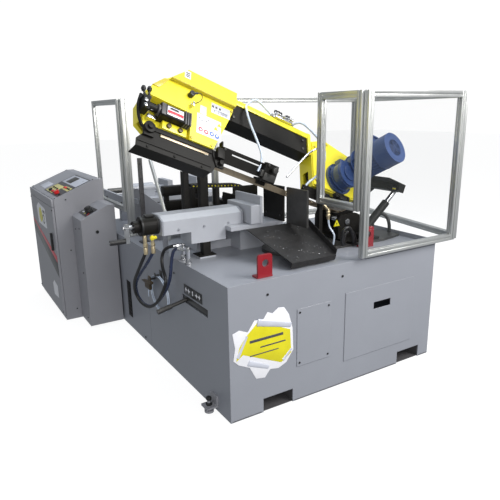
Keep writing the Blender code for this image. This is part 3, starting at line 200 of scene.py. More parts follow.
BRASS = surface("brass", (0.72, 0.6, 0.38), 0.3, metal=0.85, vary=0.1, grain=0.1, scale=40)
BRONZE = surface("gun_metal", (0.07, 0.05, 0.028), 0.38, metal=0.4, vary=0.3, grain=0.2, scale=40)
PLASTIC = surface("black_plastic", (0.014, 0.014, 0.015), 0.46, vary=0.12, grain=0.25, bump_scale=700,
                  scale=30)
DARK_GREY_PLASTIC = surface("grey_plastic", (0.07, 0.068, 0.072), 0.42, vary=0.1, grain=0.15, scale=30)
RED_PLASTIC = surface("red_plastic", (0.62, 0.01, 0.012), 0.28, coat=0.4, vary=0.05, scale=40)
WHITE_LABEL = surface("white_label", (0.8, 0.8, 0.84), 0.3, coat=0.3, vary=0.03, scale=30, edge=0.0003)
SILVER_LABEL = surface("silver_label", (0.62, 0.64, 0.72), 0.3, metal=0.2, coat=0.3, vary=0.05, scale=20,
                       edge=0.0003)
YELLOW_LABEL = surface("yellow_label", (0.66, 0.6, 0.01), 0.34, coat=0.2, vary=0.1, scale=7, edge=0.0003)
BLACK_LABEL = surface("black_label", (0.01, 0.01, 0.01), 0.32, coat=0.3, vary=0.1, scale=30, edge=0.0003)
RED_LABEL = surface("red_label", (0.6, 0.02, 0.04), 0.34, coat=0.3, vary=0.08, scale=30, edge=0.0003)
BLUE_LABEL = surface("blue_label", (0.03, 0.12, 0.6), 0.34, coat=0.3, vary=0.08, scale=30, edge=0.0003)
CREAM_LABEL = surface("cream_label", (0.62, 0.56, 0.2), 0.34, coat=0.3, vary=0.05, scale=30, edge=0.0003)
PANE = surface("clear_pane", (0.3, 0.33, 0.34), 0.12, vary=0.01, scale=2, alpha=0.025, edge=0.0003)


# ---------------------------------------------------------------- shape helpers
FACING = {
    "z": Matrix.Identity(4),
    "y": Matrix(((1, 0, 0, 0), (0, 0, -1, 0), (0, 1, 0, 0), (0, 0, 0, 1))),
    "x": Matrix(((0, 0, 1, 0), (1, 0, 0, 0), (0, 1, 0, 0), (0, 0, 0, 1))),
}


def soften(form, faces, width, segments=2):
    """Bevels the sharp edges of some faces."""
    edges = {edge for face in faces for edge in face.edges}
    least = math.radians(35)
    sharp = [edge for edge in edges if len(edge.link_faces) == 2 and edge.calc_face_angle(0) > least]
    if width and sharp:
        bmesh.ops.bevel(form, geom=sharp, offset=width, segments=segments, affect="EDGES", profile=0.6)


def add(form, part, at):
    """Merges one bmesh into another, moved by a matrix."""
    mesh = bpy.data.meshes.new("part")
    part.to_mesh(mesh)
    part.free()
    mesh.transform(at)
    form.from_mesh(mesh)
    bpy.data.meshes.remove(mesh)


def block(form, low, high, at=MACHINE, bevel=0.0015):
    part = bmesh.new()
    size = [b - a for a, b in zip(low, high)]
    middle = [(a + b) / 2 for a, b in zip(low, high)]
    bmesh.ops.create_cube(part, size=1)
    bmesh.ops.scale(part, vec=size, verts=part.verts)
    soften(part, part.faces[:], min(bevel, min(size) * 0.3))
    add(form, part, at @ Matrix.Translation(middle))


def bar(form, start, end, radius, at=MACHINE, sides=24, end_radius=None, bevel=0.0015):
    start, end = Vector(start), Vector(end)
    part = bmesh.new()
    tip = radius if end_radius is None else end_radius
    bmesh.ops.create_cone(part, cap_ends=True, segments=sides, radius1=radius, radius2=tip,
                          depth=(end - start).length)
    if bevel and min(radius, tip) > 2 * bevel:
        caps = [face for face in part.faces if len(face.verts) > 4]
        soften(part, caps, bevel)
    turn = Vector((0, 0, 1)).rotation_difference(end - start).to_matrix().to_4x4()
    add(form, part, at @ Matrix.Translation((start + end) / 2) @ turn)


HEX = {"sides": 6, "bevel": 0.0008}


def hexagon(form, start, end, radius, at=MACHINE):
    bar(form, start, end, radius, at, **HEX)


def studs(form, places, axis, start, end, radius, at=MACHINE, **options):
    """Equal bars at places in a plane, each from start to end along the plane's normal."""
    index = "xyz".index(axis)
    for place in places:
        low, high = ((*place[:index], level, *place[index:]) for level in (start, end))
        bar(form, low, high, radius, at, **options)


def sheet(form, outline, start, end, axis, at=MACHINE, holes=(), bevel=0.0):
    """A flat outline made thick along an axis; the outline is in XY, XZ or YZ for axis z, y or x."""
    curve = bpy.data.curves.new("outline", "CURVE")
    curve.dimensions = "2D"
    curve.fill_mode = "BOTH"
    curve.extrude = abs(end - start) / 2
    for loop in (outline, *holes):
        spline = curve.splines.new("POLY")
        spline.points.add(len(loop) - 1)
        for point, place in zip(spline.points, loop):
            point.co = (place[0], place[1], 0, 1)
        spline.use_cyclic_u = True
    drawn = bpy.data.objects.new("outline", curve)
    bpy.context.scene.collection.objects.link(drawn)
    bpy.context.view_layer.update()
    mesh = bpy.data.meshes.new_from_object(drawn.evaluated_get(bpy.context.evaluated_depsgraph_get()))
    bpy.data.objects.remove(drawn)
    bpy.data.curves.remove(curve)
    part = bmesh.new()
    part.from_mesh(mesh)
    bpy.data.meshes.remove(mesh)
    bmesh.ops.remove_doubles(part, verts=part.verts, dist=1e-6)
    bmesh.ops.recalc_face_normals(part, faces=part.faces)
    soften(part, part.faces[:], bevel)
    turn = FACING[axis]
    middle = (start + end) / 2 * (1 if axis != "y" else -1)
    add(form, part, at @ turn @ Matrix.Translation((0, 0, middle)))


def arc(cx, cy, radius, start, end, steps):
    """Points along an arc, angles in degrees."""
    return [
        (
            cx + radius * math.cos(math.radians(start + (end - start) * i / steps)),
            cy + radius * math.sin(math.radians(start + (end - start) * i / steps)),
        )
        for i in range(steps + 1)
    ]


def spots(cx, cy, radius, count, turn=0.0):
    """Places evenly round a circle."""
    angles = [math.tau * i / count + turn for i in range(count)]
    return [(cx + radius * math.cos(angle), cy + radius * math.sin(angle)) for angle in angles]


def ring(cx, cy, radius, steps=24):
    return arc(cx, cy, radius, 0, 360 - 360 / steps, steps - 1)


def washer(form, cx, cy, outer, inner, start, end, axis, at=MACHINE, steps=24):
    """A flat ring with a round hole."""
    sheet(form, ring(cx, cy, outer, steps), start, end, axis, at, holes=[ring(cx, cy, inner, steps)])


def smooth_route(places, spacing):
    """Points at an even spacing on a Catmull-Rom curve through the places."""
    places = [Vector(p) for p in places]
    ends = [2 * places[0] - places[1], *places, 2 * places[-1] - places[-2]]
    fine = []
    for a, b, c, d in zip(ends, ends[1:], ends[2:], ends[3:]):
        for i in range(20):
            t = i / 20
            square, cube = 2 * a - 5 * b + 4 * c - d, 3 * b - a - 3 * c + d
            fine.append(0.5 * (2 * b + (c - a) * t + square * t**2 + cube * t**3))
    fine.append(places[-1])
    route, walked = [fine[0]], 0.0
    for before, after in zip(fine, fine[1:]):
        walked += (after - before).length
        if walked >= spacing:
            route.append(after)
            walked = 0.0
    if walked < spacing / 2:
        route.pop()
    return [*route, fine[-1]]


def dress(piece, paint, body, replaces=()):
    piece.data.materials.clear()
    piece.data.materials.append(paint)
    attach(piece, body)
    if replaces:
        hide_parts(*replaces)
    return piece


def piece(name, form, paint, body, slot=None, replaces=()):
    """A finished mesh as an object that rides on a body."""
    mesh = bpy.data.meshes.new(name)
    form.to_mesh(mesh)
    form.free()
    mesh.shade_smooth()
    mesh.set_sharp_from_angle(angle=math.radians(38))
    made = bpy.data.objects.new(name, mesh)
    bpy.context.scene.collection.objects.link(made)
    return dress(made, paint, body, replaces)


def blocks(name, paint, body, rows, at=MACHINE, bevel=0.0015):
    """A piece of blocks: each row is its lowest and highest corners and, where it differs, its bevel."""
    form = bmesh.new()
    for low, high, *own_bevel in rows:
        block(form, low, high, at, *(own_bevel or [bevel]))
    return piece(name, form, paint, body)


def plate(name, low, high, paint, body, at=MACHINE, bevel=0.0015):
    return blocks(name, paint, body, [(low, high)], at, bevel)


def profile(name, paint, body, *outline_and_span, **options):
    """A piece of one sheet."""
    form = bmesh.new()
    sheet(form, *outline_and_span, **options)
    return piece(name, form, paint, body)


def hose(name, places, radius, paint, body, at=MACHINE, spacing=0.02, replaces=(), resolution=4):
    """A tube along a smooth route through the given places, hiding the CAD solid it replaces where it has one."""
    curve = bpy.data.curves.new(name, "CURVE")
    curve.dimensions = "3D"
    curve.bevel_depth = radius
    curve.bevel_resolution = resolution
    curve.use_fill_caps = True
    route = [at @ point for point in smooth_route(places, spacing)]
    spline = curve.splines.new("POLY")
    spline.points.add(len(route) - 1)
    for point, place in zip(spline.points, route):
        point.co = (*place, 1)
    spline.use_smooth = True
    made = bpy.data.objects.new(name, curve)
    bpy.context.scene.collection.objects.link(made)
    dress(made, paint, body, replaces)
    return made, route


def in_machine(at, place):
    """A place of another frame, in the machine frame."""
    return tuple(MACHINE.inverted() @ at @ Vector(place))


# ---------------------------------------------------------------- free hoses, drawn before the looks
PORT_XS, PORT_Z = (-0.175, -0.13), 0.848
ELBOW, UNION, ELBOW_Z = (0.02, 0.478), (0.034, 0.577), 0.838


def hydraulic_hoses():
    first = [
        (PORT_XS[1], VISE_Y, PORT_Z - 0.0005), (PORT_XS[1], VISE_Y, 0.82), (-0.15, 0.67, 0.745),
        (-0.17, 0.823, 0.599), (-0.15, 0.9, 0.489), (-0.13, 0.862, 0.431), (-0.11, 0.782, 0.43),
        (-0.09, 0.7, 0.482), (-0.07, 0.616, 0.574), (-0.055, 0.581, 0.655), (-0.045, 0.578, 0.732),
        (-0.04, 0.566, 0.79), (-0.034, 0.545, 0.828), (-0.0227, ELBOW[1] + 0.045, ELBOW_Z),
        (-0.0096, ELBOW[1] + 0.0311, ELBOW_Z),
    ]
    second = [
        (PORT_XS[0], VISE_Y, PORT_Z - 0.0005), (PORT_XS[0], VISE_Y, 0.82), (-0.196, 0.655, 0.745),
        (-0.2, 0.78, 0.607), (-0.172, 0.858, 0.506), (-0.15, 0.826, 0.446), (-0.132, 0.74, 0.443),
        (-0.113, 0.655, 0.497), (-0.1, 0.58, 0.59), (-0.09, 0.56, 0.655), (-0.08, 0.62, 0.706),
        (-0.066, 0.662, 0.756), (-0.054, 0.645, 0.807), (-0.036, 0.606, 0.832),
        (-0.0245, UNION[1] + 0.0125, ELBOW_Z), (-0.0048, UNION[1] + 0.0083, ELBOW_Z),
    ]
    for name, places, paint in (
        # the first hose carries the painted blue sheen
        ("hydraulic_hose_1", first, RUBBER_PAINTED_BLUE_SHEEN),
        ("hydraulic_hose_2", second, RUBBER),
    ):
        made, route = hose(name + "_look", places, HOSE_R, paint, "base", replaces=[name],
                           spacing=0.024)


def air_gun():
    """A blow gun: a bent barrel with a nozzle, a grip and a lever."""
    form = bmesh.new()
    z = 0.52
    bar(form, (-0.056, 0.88, z + 0.022), (-0.056, 1.01, z + 0.003), 0.0115)
    bar(form, (-0.056, 1.005, z + 0.004), (-0.056, 1.055, z - 0.004), 0.0095, end_radius=0.0045)
    hexagon(form, (-0.056, 0.99, z + 0.006), (-0.056, 1.008, z + 0.0035), 0.012)
    block(form, (-0.066, 0.905, z - 0.033), (-0.046, 0.99, z + 0.014), bevel=0.006)
    block(form, (-0.06, 0.9, z + 0.012), (-0.052, 0.935, z + 0.058), bevel=0.002)
    return piece("air_gun_look", form, BRONZE, "base", "gun_metal", ["air_gun"])


def air_hose(gun):
    """Hanging turns from a gland at the coil's top to the butt of the gun."""
    y, z, half_w, half_h = 0.86, 0.47, 0.145, 0.115
    steps, turns = 16, 2.25
    places = []
    for i in range(int(turns * steps) + 1):
        angle = math.radians(90) - math.tau * i / steps
        places.append((-0.0065 - 0.0096 * i / steps, y + half_w * math.cos(angle),
                       z + half_h * math.sin(angle)))
    places += [
        (-0.04, y + 0.137, z - 0.036), (-0.05, y + 0.108, z - 0.048), (-0.0555, y + 0.091, z - 0.022),
        (-0.056, y + 0.0875, 0.485),
    ]
    made, route = hose("air_hose_look", places, AIR_HOSE_R, CLEAR_HOSE, "base",
                       replaces=["air_hose_coil"], spacing=0.018, resolution=3)


def coil_hooks():
    """The hook that the turns hang on, the plate behind it and the clip of the gun."""
    blocks("coil_hooks", IRON, "base", [
        ((-0.042, 0.85, 0.5905), (-0.0003, 0.87, 0.5965)),
        ((-0.042, 0.85, 0.5905), (-0.038, 0.87, 0.609), 0.0015),
        ((-0.005, 0.842, 0.56), (-0.0003, 0.878, 0.62)),
        ((-0.05, 0.955, 0.536), (-0.0003, 0.97, 0.548)),
    ], bevel=0.002)


camera()
hydraulic_hoses()
air_hose(air_gun())
coil_hooks()


# ---------------------------------------------------------------- CAD nodes keep their shape and get a finish
def finish_cad():
    for part in frame["record"]["subparts"]:
        mesh = frame["nodes"][part["node"]].data
        mesh.materials.clear()
        mesh.materials.append(SURFACES[part["material_slot"]])
    for name in ("control_cabinet", "cabinet_door", "side_box", "levelling_foot"):
        frame["nodes"][name].data.materials[0] = CABINET_GREY


finish_cad()


# ---------------------------------------------------------------- guards
def rail(form, low, high, axis, at=MACHINE):
    """A grooved aluminium profile between two corners, its groove on all four sides."""
    across = {"x": (1, 2), "y": (0, 2), "z": (0, 1)}[axis]
    along = "xyz".index(axis)
    a0, b0, a1, b1 = low[across[0]], low[across[1]], high[across[0]], high[across[1]]
    am, bm, half, deep = (a0 + a1) / 2, (b0 + b1) / 2, 0.0042, 0.006
    outline = [
        (a0, b0), (am - half, b0), (am - half, b0 + deep), (am + half, b0 + deep), (am + half, b0), (a1, b0),
        (a1, bm - half), (a1 - deep, bm - half), (a1 - deep, bm + half), (a1, bm + half), (a1, b1),
        (am + half, b1), (am + half, b1 - deep), (am - half, b1 - deep), (am - half, b1), (a0, b1),
        (a0, bm + half), (a0 + deep, bm + half), (a0 + deep, bm - half), (a0, bm - half),
    ]
    sheet(form, outline, low[along], high[along], axis, at, bevel=0.0009)


def frame_rails(form, a0, b0, a1, b1, low, high, axis, at=MACHINE):
    """Four rails round a rectangle; axis is the panel's normal, and a runs across it and b up."""
    w = PROFILE
    spans = (
        ((a0, b0), (a0 + w, b1), "up"), ((a1 - w, b0), (a1, b1), "up"),
        ((a0 + w, b0), (a1 - w, b0 + w), "across"), ((a0 + w, b1 - w), (a1 - w, b1), "across"),
    )
    for start, end, way in spans:
        if axis == "y":
            corners = (start[0], low, start[1]), (end[0], high, end[1])
            rail(form, *corners, "z" if way == "up" else "x", at)
        else:
            corners = (low, start[0], start[1]), (high, end[0], end[1])
            rail(form, *corners, "z" if way == "up" else "y", at)


def pane(name, a0, b0, a1, b1, at_value, axis, body, at=MACHINE):
    inset = 0.03
    a0, b0, a1, b1 = a0 + inset, b0 + inset, a1 - inset, b1 - inset
    outline = [(a0, b0), (a1, b0), (a1, b1), (a0, b1)]
    profile(name, PANE, body, outline, at_value - 0.0015, at_value + 0.0015, axis, at)


GUARD_Z0, GUARD_Z1 = 0.767, 1.676
REAR_Y = 1.15
RIGHT_START, RIGHT_END = Vector((1.6425, -0.018)), Vector((1.862, REAR_Y - 0.01))
RIGHT_RUN = (RIGHT_END - RIGHT_START).length
RIGHT_TURN = math.atan2(RIGHT_END.y - RIGHT_START.y, RIGHT_END.x - RIGHT_START.x)
RIGHT_CORNER = Matrix.Translation((RIGHT_START.x + 0.001, RIGHT_START.y, 0))
RIGHT = MACHINE @ RIGHT_CORNER @ Matrix.Rotation(RIGHT_TURN, 4, "Z")


def guards():
    z0, z1 = GUARD_Z0, GUARD_Z1
    form = bmesh.new()
    frame_rails(form, 0.85, z0, 1.642, z1, -0.0365, -0.0003, "y")
    frame_rails(form, 0.0, 1.03, 0.363, z1, 0.832, 0.868, "x")
    piece("front_guard_frame", form, ALUMINIUM, "base", "aluminium_profile", ["guard_front"])
    form = bmesh.new()
    block(form, (0.836, 0.333, BASE_H + 0.0004), (0.864, 0.359, 1.031), bevel=0.004)
    block(form, (0.826, 0.318, BASE_H + 0.0004), (0.874, 0.374, BASE_H + 0.008))
    piece("side_guard_post", form, BLACK, "base", "black_paint")
    pane("front_pane", 0.85, z0, 1.642, z1, -0.018, "y", "base")
    pane("side_pane", 0.0, 1.03, 0.363, z1, 0.85, "x", "base")

    form = bmesh.new()
    frame_rails(form, 0.55, z0, 1.89, z1, REAR_Y, REAR_Y + 0.036, "y")
    for x in (0.55, 0.8):
        rail(form, (x, REAR_Y, REAR_H + 0.0004), (x + PROFILE, REAR_Y + 0.036, z0), "z")
    frame_rails(form, 0.002, z0, RIGHT_RUN, z1, -0.036, 0.0, "y", RIGHT)
    piece("rear_guard_frame", form, ALUMINIUM, "base", "aluminium_profile", ["guard_rear"])
    pane("rear_pane", 0.55, z0, 1.89, z1, REAR_Y + 0.018, "y", "base")
    pane("right_pane", 0.002, z0, RIGHT_RUN, z1, -0.018, "y", "base", RIGHT)

    form = bmesh.new()
    frame_rails(form, 1.594, 0.875, 2.24, z1, 0.04, 0.068, "x")
    piece("infeed_guard_frame", form, ALUMINIUM, "base", "aluminium_profile", ["guard_infeed"])
    pane("infeed_pane", 1.594, 0.875, 2.24, z1, 0.054, "x", "base")
    form = bmesh.new()
    rail(form, (0.052, 1.546, REAR_H + 0.0004), (0.098, 1.592, z1), "z")
    block(form, (0.03, 1.53, REAR_H + 0.0004), (0.12, 1.608, REAR_H + 0.01))
    piece("guard_post_profile", form, ALUMINIUM, "base", "aluminium_profile", ["guard_post"])


guards()


# ---------------------------------------------------------------- bow: idler end
def idler_details():
    at, front = WHEEL_PLANE, -0.0802
    # raised hood that folds down to a crease across the cover, its strips and bolts in yellow painted shade
    form = bmesh.new()
    sheet(form, [(-0.846, 0.352), (-0.44, 0.352), (-0.44, 0.358), (-0.842, 0.358)], front - 0.026, front, "y",
          at, bevel=0.001)
    sheet(form, [(-0.94, 0.276), (-0.9, 0.276), (-0.846, 0.352), (-0.876, 0.346)], front - 0.006, front, "y",
          at, bevel=0.001)
    studs(form, ((-0.7, 0.06), (-0.575, 0.06), (-0.452, 0.33)), "y", front + 0.001, front - 0.006, 0.008, at,
          **HEX)
    piece("cover_fold", form, YELLOW_PAINTED_SHADE, "idler_cover")
    # bolted block below the tension unit
    plate("guide_block", (-0.865, -0.075, 0.052), (-0.725, -0.0405, 0.098), YELLOW, "bow", at, bevel=0.003)
    form = bmesh.new()
    for s in (-0.83, -0.765):
        bar(form, (s, -0.074, 0.075), (s, -0.086, 0.075), 0.013, at)
    piece("guide_block_bolts", form, BRONZE, "bow")
    # latch knob on the cover with its wire and key
    form = bmesh.new()
    bar(form, (-0.72, front + 0.001, 0.312), (-0.72, front - 0.03, 0.312), 0.0155, at)
    bar(form, (-0.72, front - 0.026, 0.312), (-0.69, front - 0.03, 0.322), 0.006, at)
    piece("cover_knob", form, PLASTIC, "idler_cover")
    wire = [
        (-0.7, front - 0.03, 0.318), (-0.672, front - 0.034, 0.326), (-0.662, front - 0.026, 0.3),
        (-0.684, front - 0.02, 0.272), (-0.706, front - 0.01, 0.258),
    ]
    hose("knob_wire", wire, 0.0022, PLASTIC, "idler_cover", at, 0.008, resolution=2)
    form = bmesh.new()
    bar(form, (-0.71, front + 0.001, 0.252), (-0.71, front - 0.016, 0.252), 0.01, at)
    block(form, (-0.716, front - 0.03, 0.236), (-0.704, front - 0.014, 0.262), at, 0.001)
    piece("cover_key", form, BRIGHT, "idler_cover")
    # plates without lettering
    for name, paint, low, high in (
        ("label_hood", WHITE_LABEL, (-0.772, -0.1062, 0.392), (-0.735, -0.1052, 0.44)),
        ("label_small", SILVER_LABEL, (-0.655, front - 0.0012, 0.232), (-0.615, front, 0.284)),
        ("label_wide", SILVER_LABEL, (-0.585, front - 0.0012, 0.27), (-0.462, front, 0.333)),
        ("label_signs", WHITE_LABEL, (-0.672, front - 0.0012, 0.105), (-0.52, front, 0.228)),
    ):
        plate(name, low, high, paint, "idler_cover", at, bevel=0.0004)
    form = bmesh.new()
    for s in (-0.575, -0.553, -0.53):
        block(form, (s - 0.006, front - 0.002, 0.303), (s + 0.006, front - 0.001, 0.316), at, 0.0002)
    for row in range(3):
        block(form, (-0.573, front - 0.002, 0.278 + 0.007 * row), (-0.48, front - 0.001, 0.281 + 0.007 * row),
              at, 0.0002)
    for row in range(3):
        block(form, (-0.765, -0.107, 0.4 + 0.011 * row), (-0.742, -0.106, 0.406 + 0.011 * row), at, 0.0002)
    for s, t in ((-0.655, 0.2), (-0.64, 0.188), (-0.615, 0.196), (-0.6, 0.205)):
        block(form, (s - 0.006, front - 0.002, t - 0.002), (s + 0.006, front - 0.001, t + 0.002), at, 0.0002)
    piece("label_marks", form, DARK_GREY_PLASTIC, "idler_cover")
    for name, paint, places in (
        ("signs_blue", BLUE_LABEL, ((-0.578, 0.13), (-0.545, 0.128))),
        ("signs_red", RED_LABEL, ((-0.648, 0.132), (-0.613, 0.13))),
    ):
        form = bmesh.new()
        studs(form, places, "y", front - 0.0005, front - 0.0022, 0.0135, at, bevel=0)
        piece(name, form, paint, "idler_cover")
    form = bmesh.new()
    for s, t in ((-0.553, 0.176), (-0.532, 0.205)):
        sheet(form, [(s - 0.014, t - 0.011), (s + 0.014, t - 0.011), (s, t + 0.013)], front - 0.0022,
              front - 0.0005, "y", at)
    piece("signs_yellow", form, YELLOW_LABEL, "idler_cover")
    form = bmesh.new()
    for s in (-0.648, -0.613, -0.578, -0.545):
        bar(form, (s, front - 0.0015, 0.13), (s, front - 0.003, 0.13), 0.0065, at, bevel=0)
    piece("signs_white", form, WHITE_LABEL, "idler_cover")


def tension_details():
    at = WHEEL_PLANE
    form = bmesh.new()
    for s in (-0.728, -0.742, -0.756):
        block(form, (s - 0.004, -0.1185, 0.097), (s + 0.004, -0.042, 0.175), at, 0.001)
    block(form, (-0.892, -0.1165, 0.104), (-0.868, -0.1145, 0.168), at, 0.001)
    bar(form, (-0.905, -0.082, 0.138), (-0.893, -0.082, 0.138), 0.03, at)
    piece("tension_ribs", form, DARK_GREY_PLASTIC, "bow")
    for name, paint, low, high in (
        ("tension_label_white", WHITE_LABEL, (-0.862, -0.1162, 0.112), (-0.77, -0.1152, 0.162)),
        ("tension_label_red", RED_LABEL, (-0.86, -0.117, 0.122), (-0.772, -0.116, 0.139)),
        ("tension_label_black", BLACK_LABEL, (-0.848, -0.117, 0.145), (-0.8, -0.116, 0.157)),
    ):
        plate(name, low, high, paint, "bow", at, bevel=0.0004)
    form = bmesh.new()
    bar(form, (-0.958, -0.08, 0.138), (-0.925, -0.08, 0.138), 0.0125, at)
    hexagon(form, (-0.94, -0.08, 0.138), (-0.926, -0.08, 0.138), 0.0215, at)
    for t in (0.122, 0.15):
        bar(form, (-0.975, -0.101, t), (-0.975, -0.112, t), 0.009, at)
    block(form, (-0.945, -0.07, 0.088), (-0.898, -0.0415, 0.108), at, 0.002)
    piece("tension_fittings", form, BRIGHT, "bow")
    form = bmesh.new()
    half = Vector((0, 0, 0.005))
    for start, end in (
        ((-0.968, -0.085, 0.18), (-0.992, -0.1, 0.206)),
        ((-0.95, -0.085, 0.182), (-0.96, -0.1, 0.216)),
    ):
        bar(form, start, end, 0.0055, at)
        for i in range(3):
            middle = Vector(end) + Vector((0, 0, 0.008 * i))
            bar(form, middle - half, middle + half, 0.0125 - 0.003 * abs(i - 1), at)
    block(form, (-0.99, -0.098, 0.176), (-0.944, -0.05, 0.19), at, 0.003)
    piece("tension_levers", form, PLASTIC, "bow")
    edge = [(-0.982, -0.052, 0.215), (-0.992, -0.054, 0.15), (-0.984, -0.056, 0.08), (-0.962, -0.056, 0.03)]
    hose("cover_edge_bar", edge, 0.008, BLACK, "bow", at, 0.012)
    form = bmesh.new()
    bar(form, (-0.935, -0.06, 0.022), (-0.935, -0.092, 0.022), 0.03, at)
    bar(form, (-0.935, -0.09, 0.022), (-0.935, -0.104, 0.022), 0.014, at)
    block(form, (-0.962, -0.078, -0.022), (-0.905, -0.0645, 0.02), at, 0.004)
    piece("guard_hinge_knob", form, BLACK, "bow")


def guard_details():
    """The blade guard's lip and brackets, the band seen in its window, and the guides' bolts and fittings."""
    form = bmesh.new()
    sheet(form, [(-0.56, 0.016), (-0.535, -0.046), (-0.49, -0.046), (-0.49, 0.04), (-0.56, 0.046)],
          -0.0715, -0.0645, "y", WHEEL_PLANE, bevel=0.001)
    sheet(form, [(-0.905, 0.0215), (-0.562, 0.0215), (-0.562, 0.046), (-0.905, 0.046)],
          -0.07, -0.0645, "y", WHEEL_PLANE, bevel=0.001)
    block(form, (-0.545, -0.098, -0.004), (-0.5, -0.072, 0.06), WHEEL_PLANE, 0.004)
    bar(form, (-0.514, -0.07, -0.024), (-0.514, -0.094, -0.024), 0.014, WHEEL_PLANE)
    block(form, (-0.502, -0.07, 0.04), (-0.492, -0.04, 0.125), WHEEL_PLANE, 0.003)
    sheet(form, [(-0.98, -0.052), (-0.566, -0.052), (-0.566, -0.06), (-0.984, -0.06)],
          -0.068, -0.0645, "y", WHEEL_PLANE)
    for s in (-0.93, -0.78, -0.62):
        hexagon(form, (s, -0.064, -0.075), (s, -0.069, -0.075), 0.007, WHEEL_PLANE)
    piece("guard_lip", form, BLACK, "bow")
    plate("guard_window_band", (-0.865, -0.067, 0.0045), (-0.585, -0.0655, 0.0175), BAND, "bow", WHEEL_PLANE,
          bevel=0.0002)
    form = bmesh.new()
    for t in (0.05, 0.1):
        hexagon(form, (-0.5, -0.0548, t), (-0.5, -0.061, t), 0.007, BLADE_LINE)
    piece("guide_rail_bolts", form, IRON, "bow")
    form = bmesh.new()
    bar(form, (-0.195, -0.114, 0.085), (-0.195, -0.13, 0.085), 0.0165, BLADE_LINE)
    block(form, (-0.236, -0.0895, 0.02), (-0.154, -0.0845, 0.06), BLADE_LINE, 0.002)
    for s in (-0.222, -0.168):
        hexagon(form, (s, -0.084, 0.104), (s, -0.0925, 0.104), 0.007, BLADE_LINE)
    block(form, (-0.256, -0.084, 0.034), (-0.2395, -0.06, 0.07), BLADE_LINE, 0.003)
    piece("moving_guide_fittings", form, IRON, "guide_arm")


def beam_details():
    """The yellow strip on the beam, its edge flange, the coolant block with its valves, and the hoses."""
    at = WHEEL_PLANE
    blocks("beam_strip", YELLOW, "bow", [
        ((-0.427, -0.056, 0.4485), (0.179, 0.05, 0.453)),
        ((-0.427, -0.056, 0.418), (0.179, -0.049, 0.452)),
        ((0.155, -0.062, 0.3), (0.1795, -0.049, 0.452), 0.002),
    ], at, bevel=0.001)
    form = bmesh.new()
    for s in (-0.415, 0.12):
        for t in (0.33, 0.39):
            hexagon(form, (s, -0.0482, t), (s, -0.055, t), 0.009, at)
    piece("beam_bolts", form, IRON, "bow")
    form = bmesh.new()
    block(form, (-0.115, -0.075, 0.4535), (0.015, -0.03, 0.48), at, 0.003)
    for s in (-0.1, -0.06, -0.01, 0.005):
        bar(form, (s, -0.052, 0.478), (s, -0.052, 0.505), 0.0075, at)
        bar(form, (s, -0.073, 0.466), (s, -0.094, 0.466), 0.0065, at)
    hexagon(form, (-0.14, -0.052, 0.468), (-0.114, -0.052, 0.468), 0.01, at)
    hexagon(form, (0.014, -0.052, 0.468), (0.04, -0.052, 0.468), 0.01, at)
    piece("coolant_block", form, BRIGHT, "bow")
    form = bmesh.new()
    for s, turn in ((-0.1, 0.022), (-0.06, -0.022), (-0.01, 0.02)):
        bar(form, (s, -0.052, 0.504), (s, -0.052, 0.514), 0.0105, at)
        bar(form, (s, -0.052, 0.51), (s + turn, -0.06, 0.512), 0.0045, at)
    piece("coolant_taps", form, PLASTIC, "bow")
    block_low = in_machine(at, (-0.128, -0.052, 0.468))
    left = [block_low, (0.59, 0.64, 1.64), (0.496, 0.6, 1.613), (0.452, 0.53, 1.572), (0.446, 0.48, 1.5),
            (0.454, 0.44, 1.43), (0.461, 0.4, 1.354), (0.446, 0.375, 1.3), (0.414, 0.362, 1.252)]
    hose("coolant_hose_left", left, COOLANT_HOSE_R, CLEAR_HOSE, "bow", spacing=0.014, resolution=3)
    block_high = in_machine(at, (0.03, -0.052, 0.468))
    right = [block_high, (0.87, 0.56, 1.5), (0.927, 0.5, 1.429), (0.946, 0.44, 1.355), (0.926, 0.4, 1.31),
             (0.906, 0.39, 1.251), (0.84, 0.375, 1.19), (0.79, 0.375, 1.165), (0.745, 0.375, 1.128)]
    hose("coolant_hose_right", right, COOLANT_HOSE_R, CLEAR_HOSE, "bow", spacing=0.014, resolution=3)
    spray = [(0.94, 0.43, 1.345), (0.9, 0.416, 1.352), (0.86, 0.406, 1.35), (0.794, 0.398, 1.325),
             (0.7, 0.386, 1.26), (0.619, 0.372, 1.203)]
    hose("spray_tube", spray, SPRAY_R, BRIGHT, "bow", spacing=0.014, resolution=3)


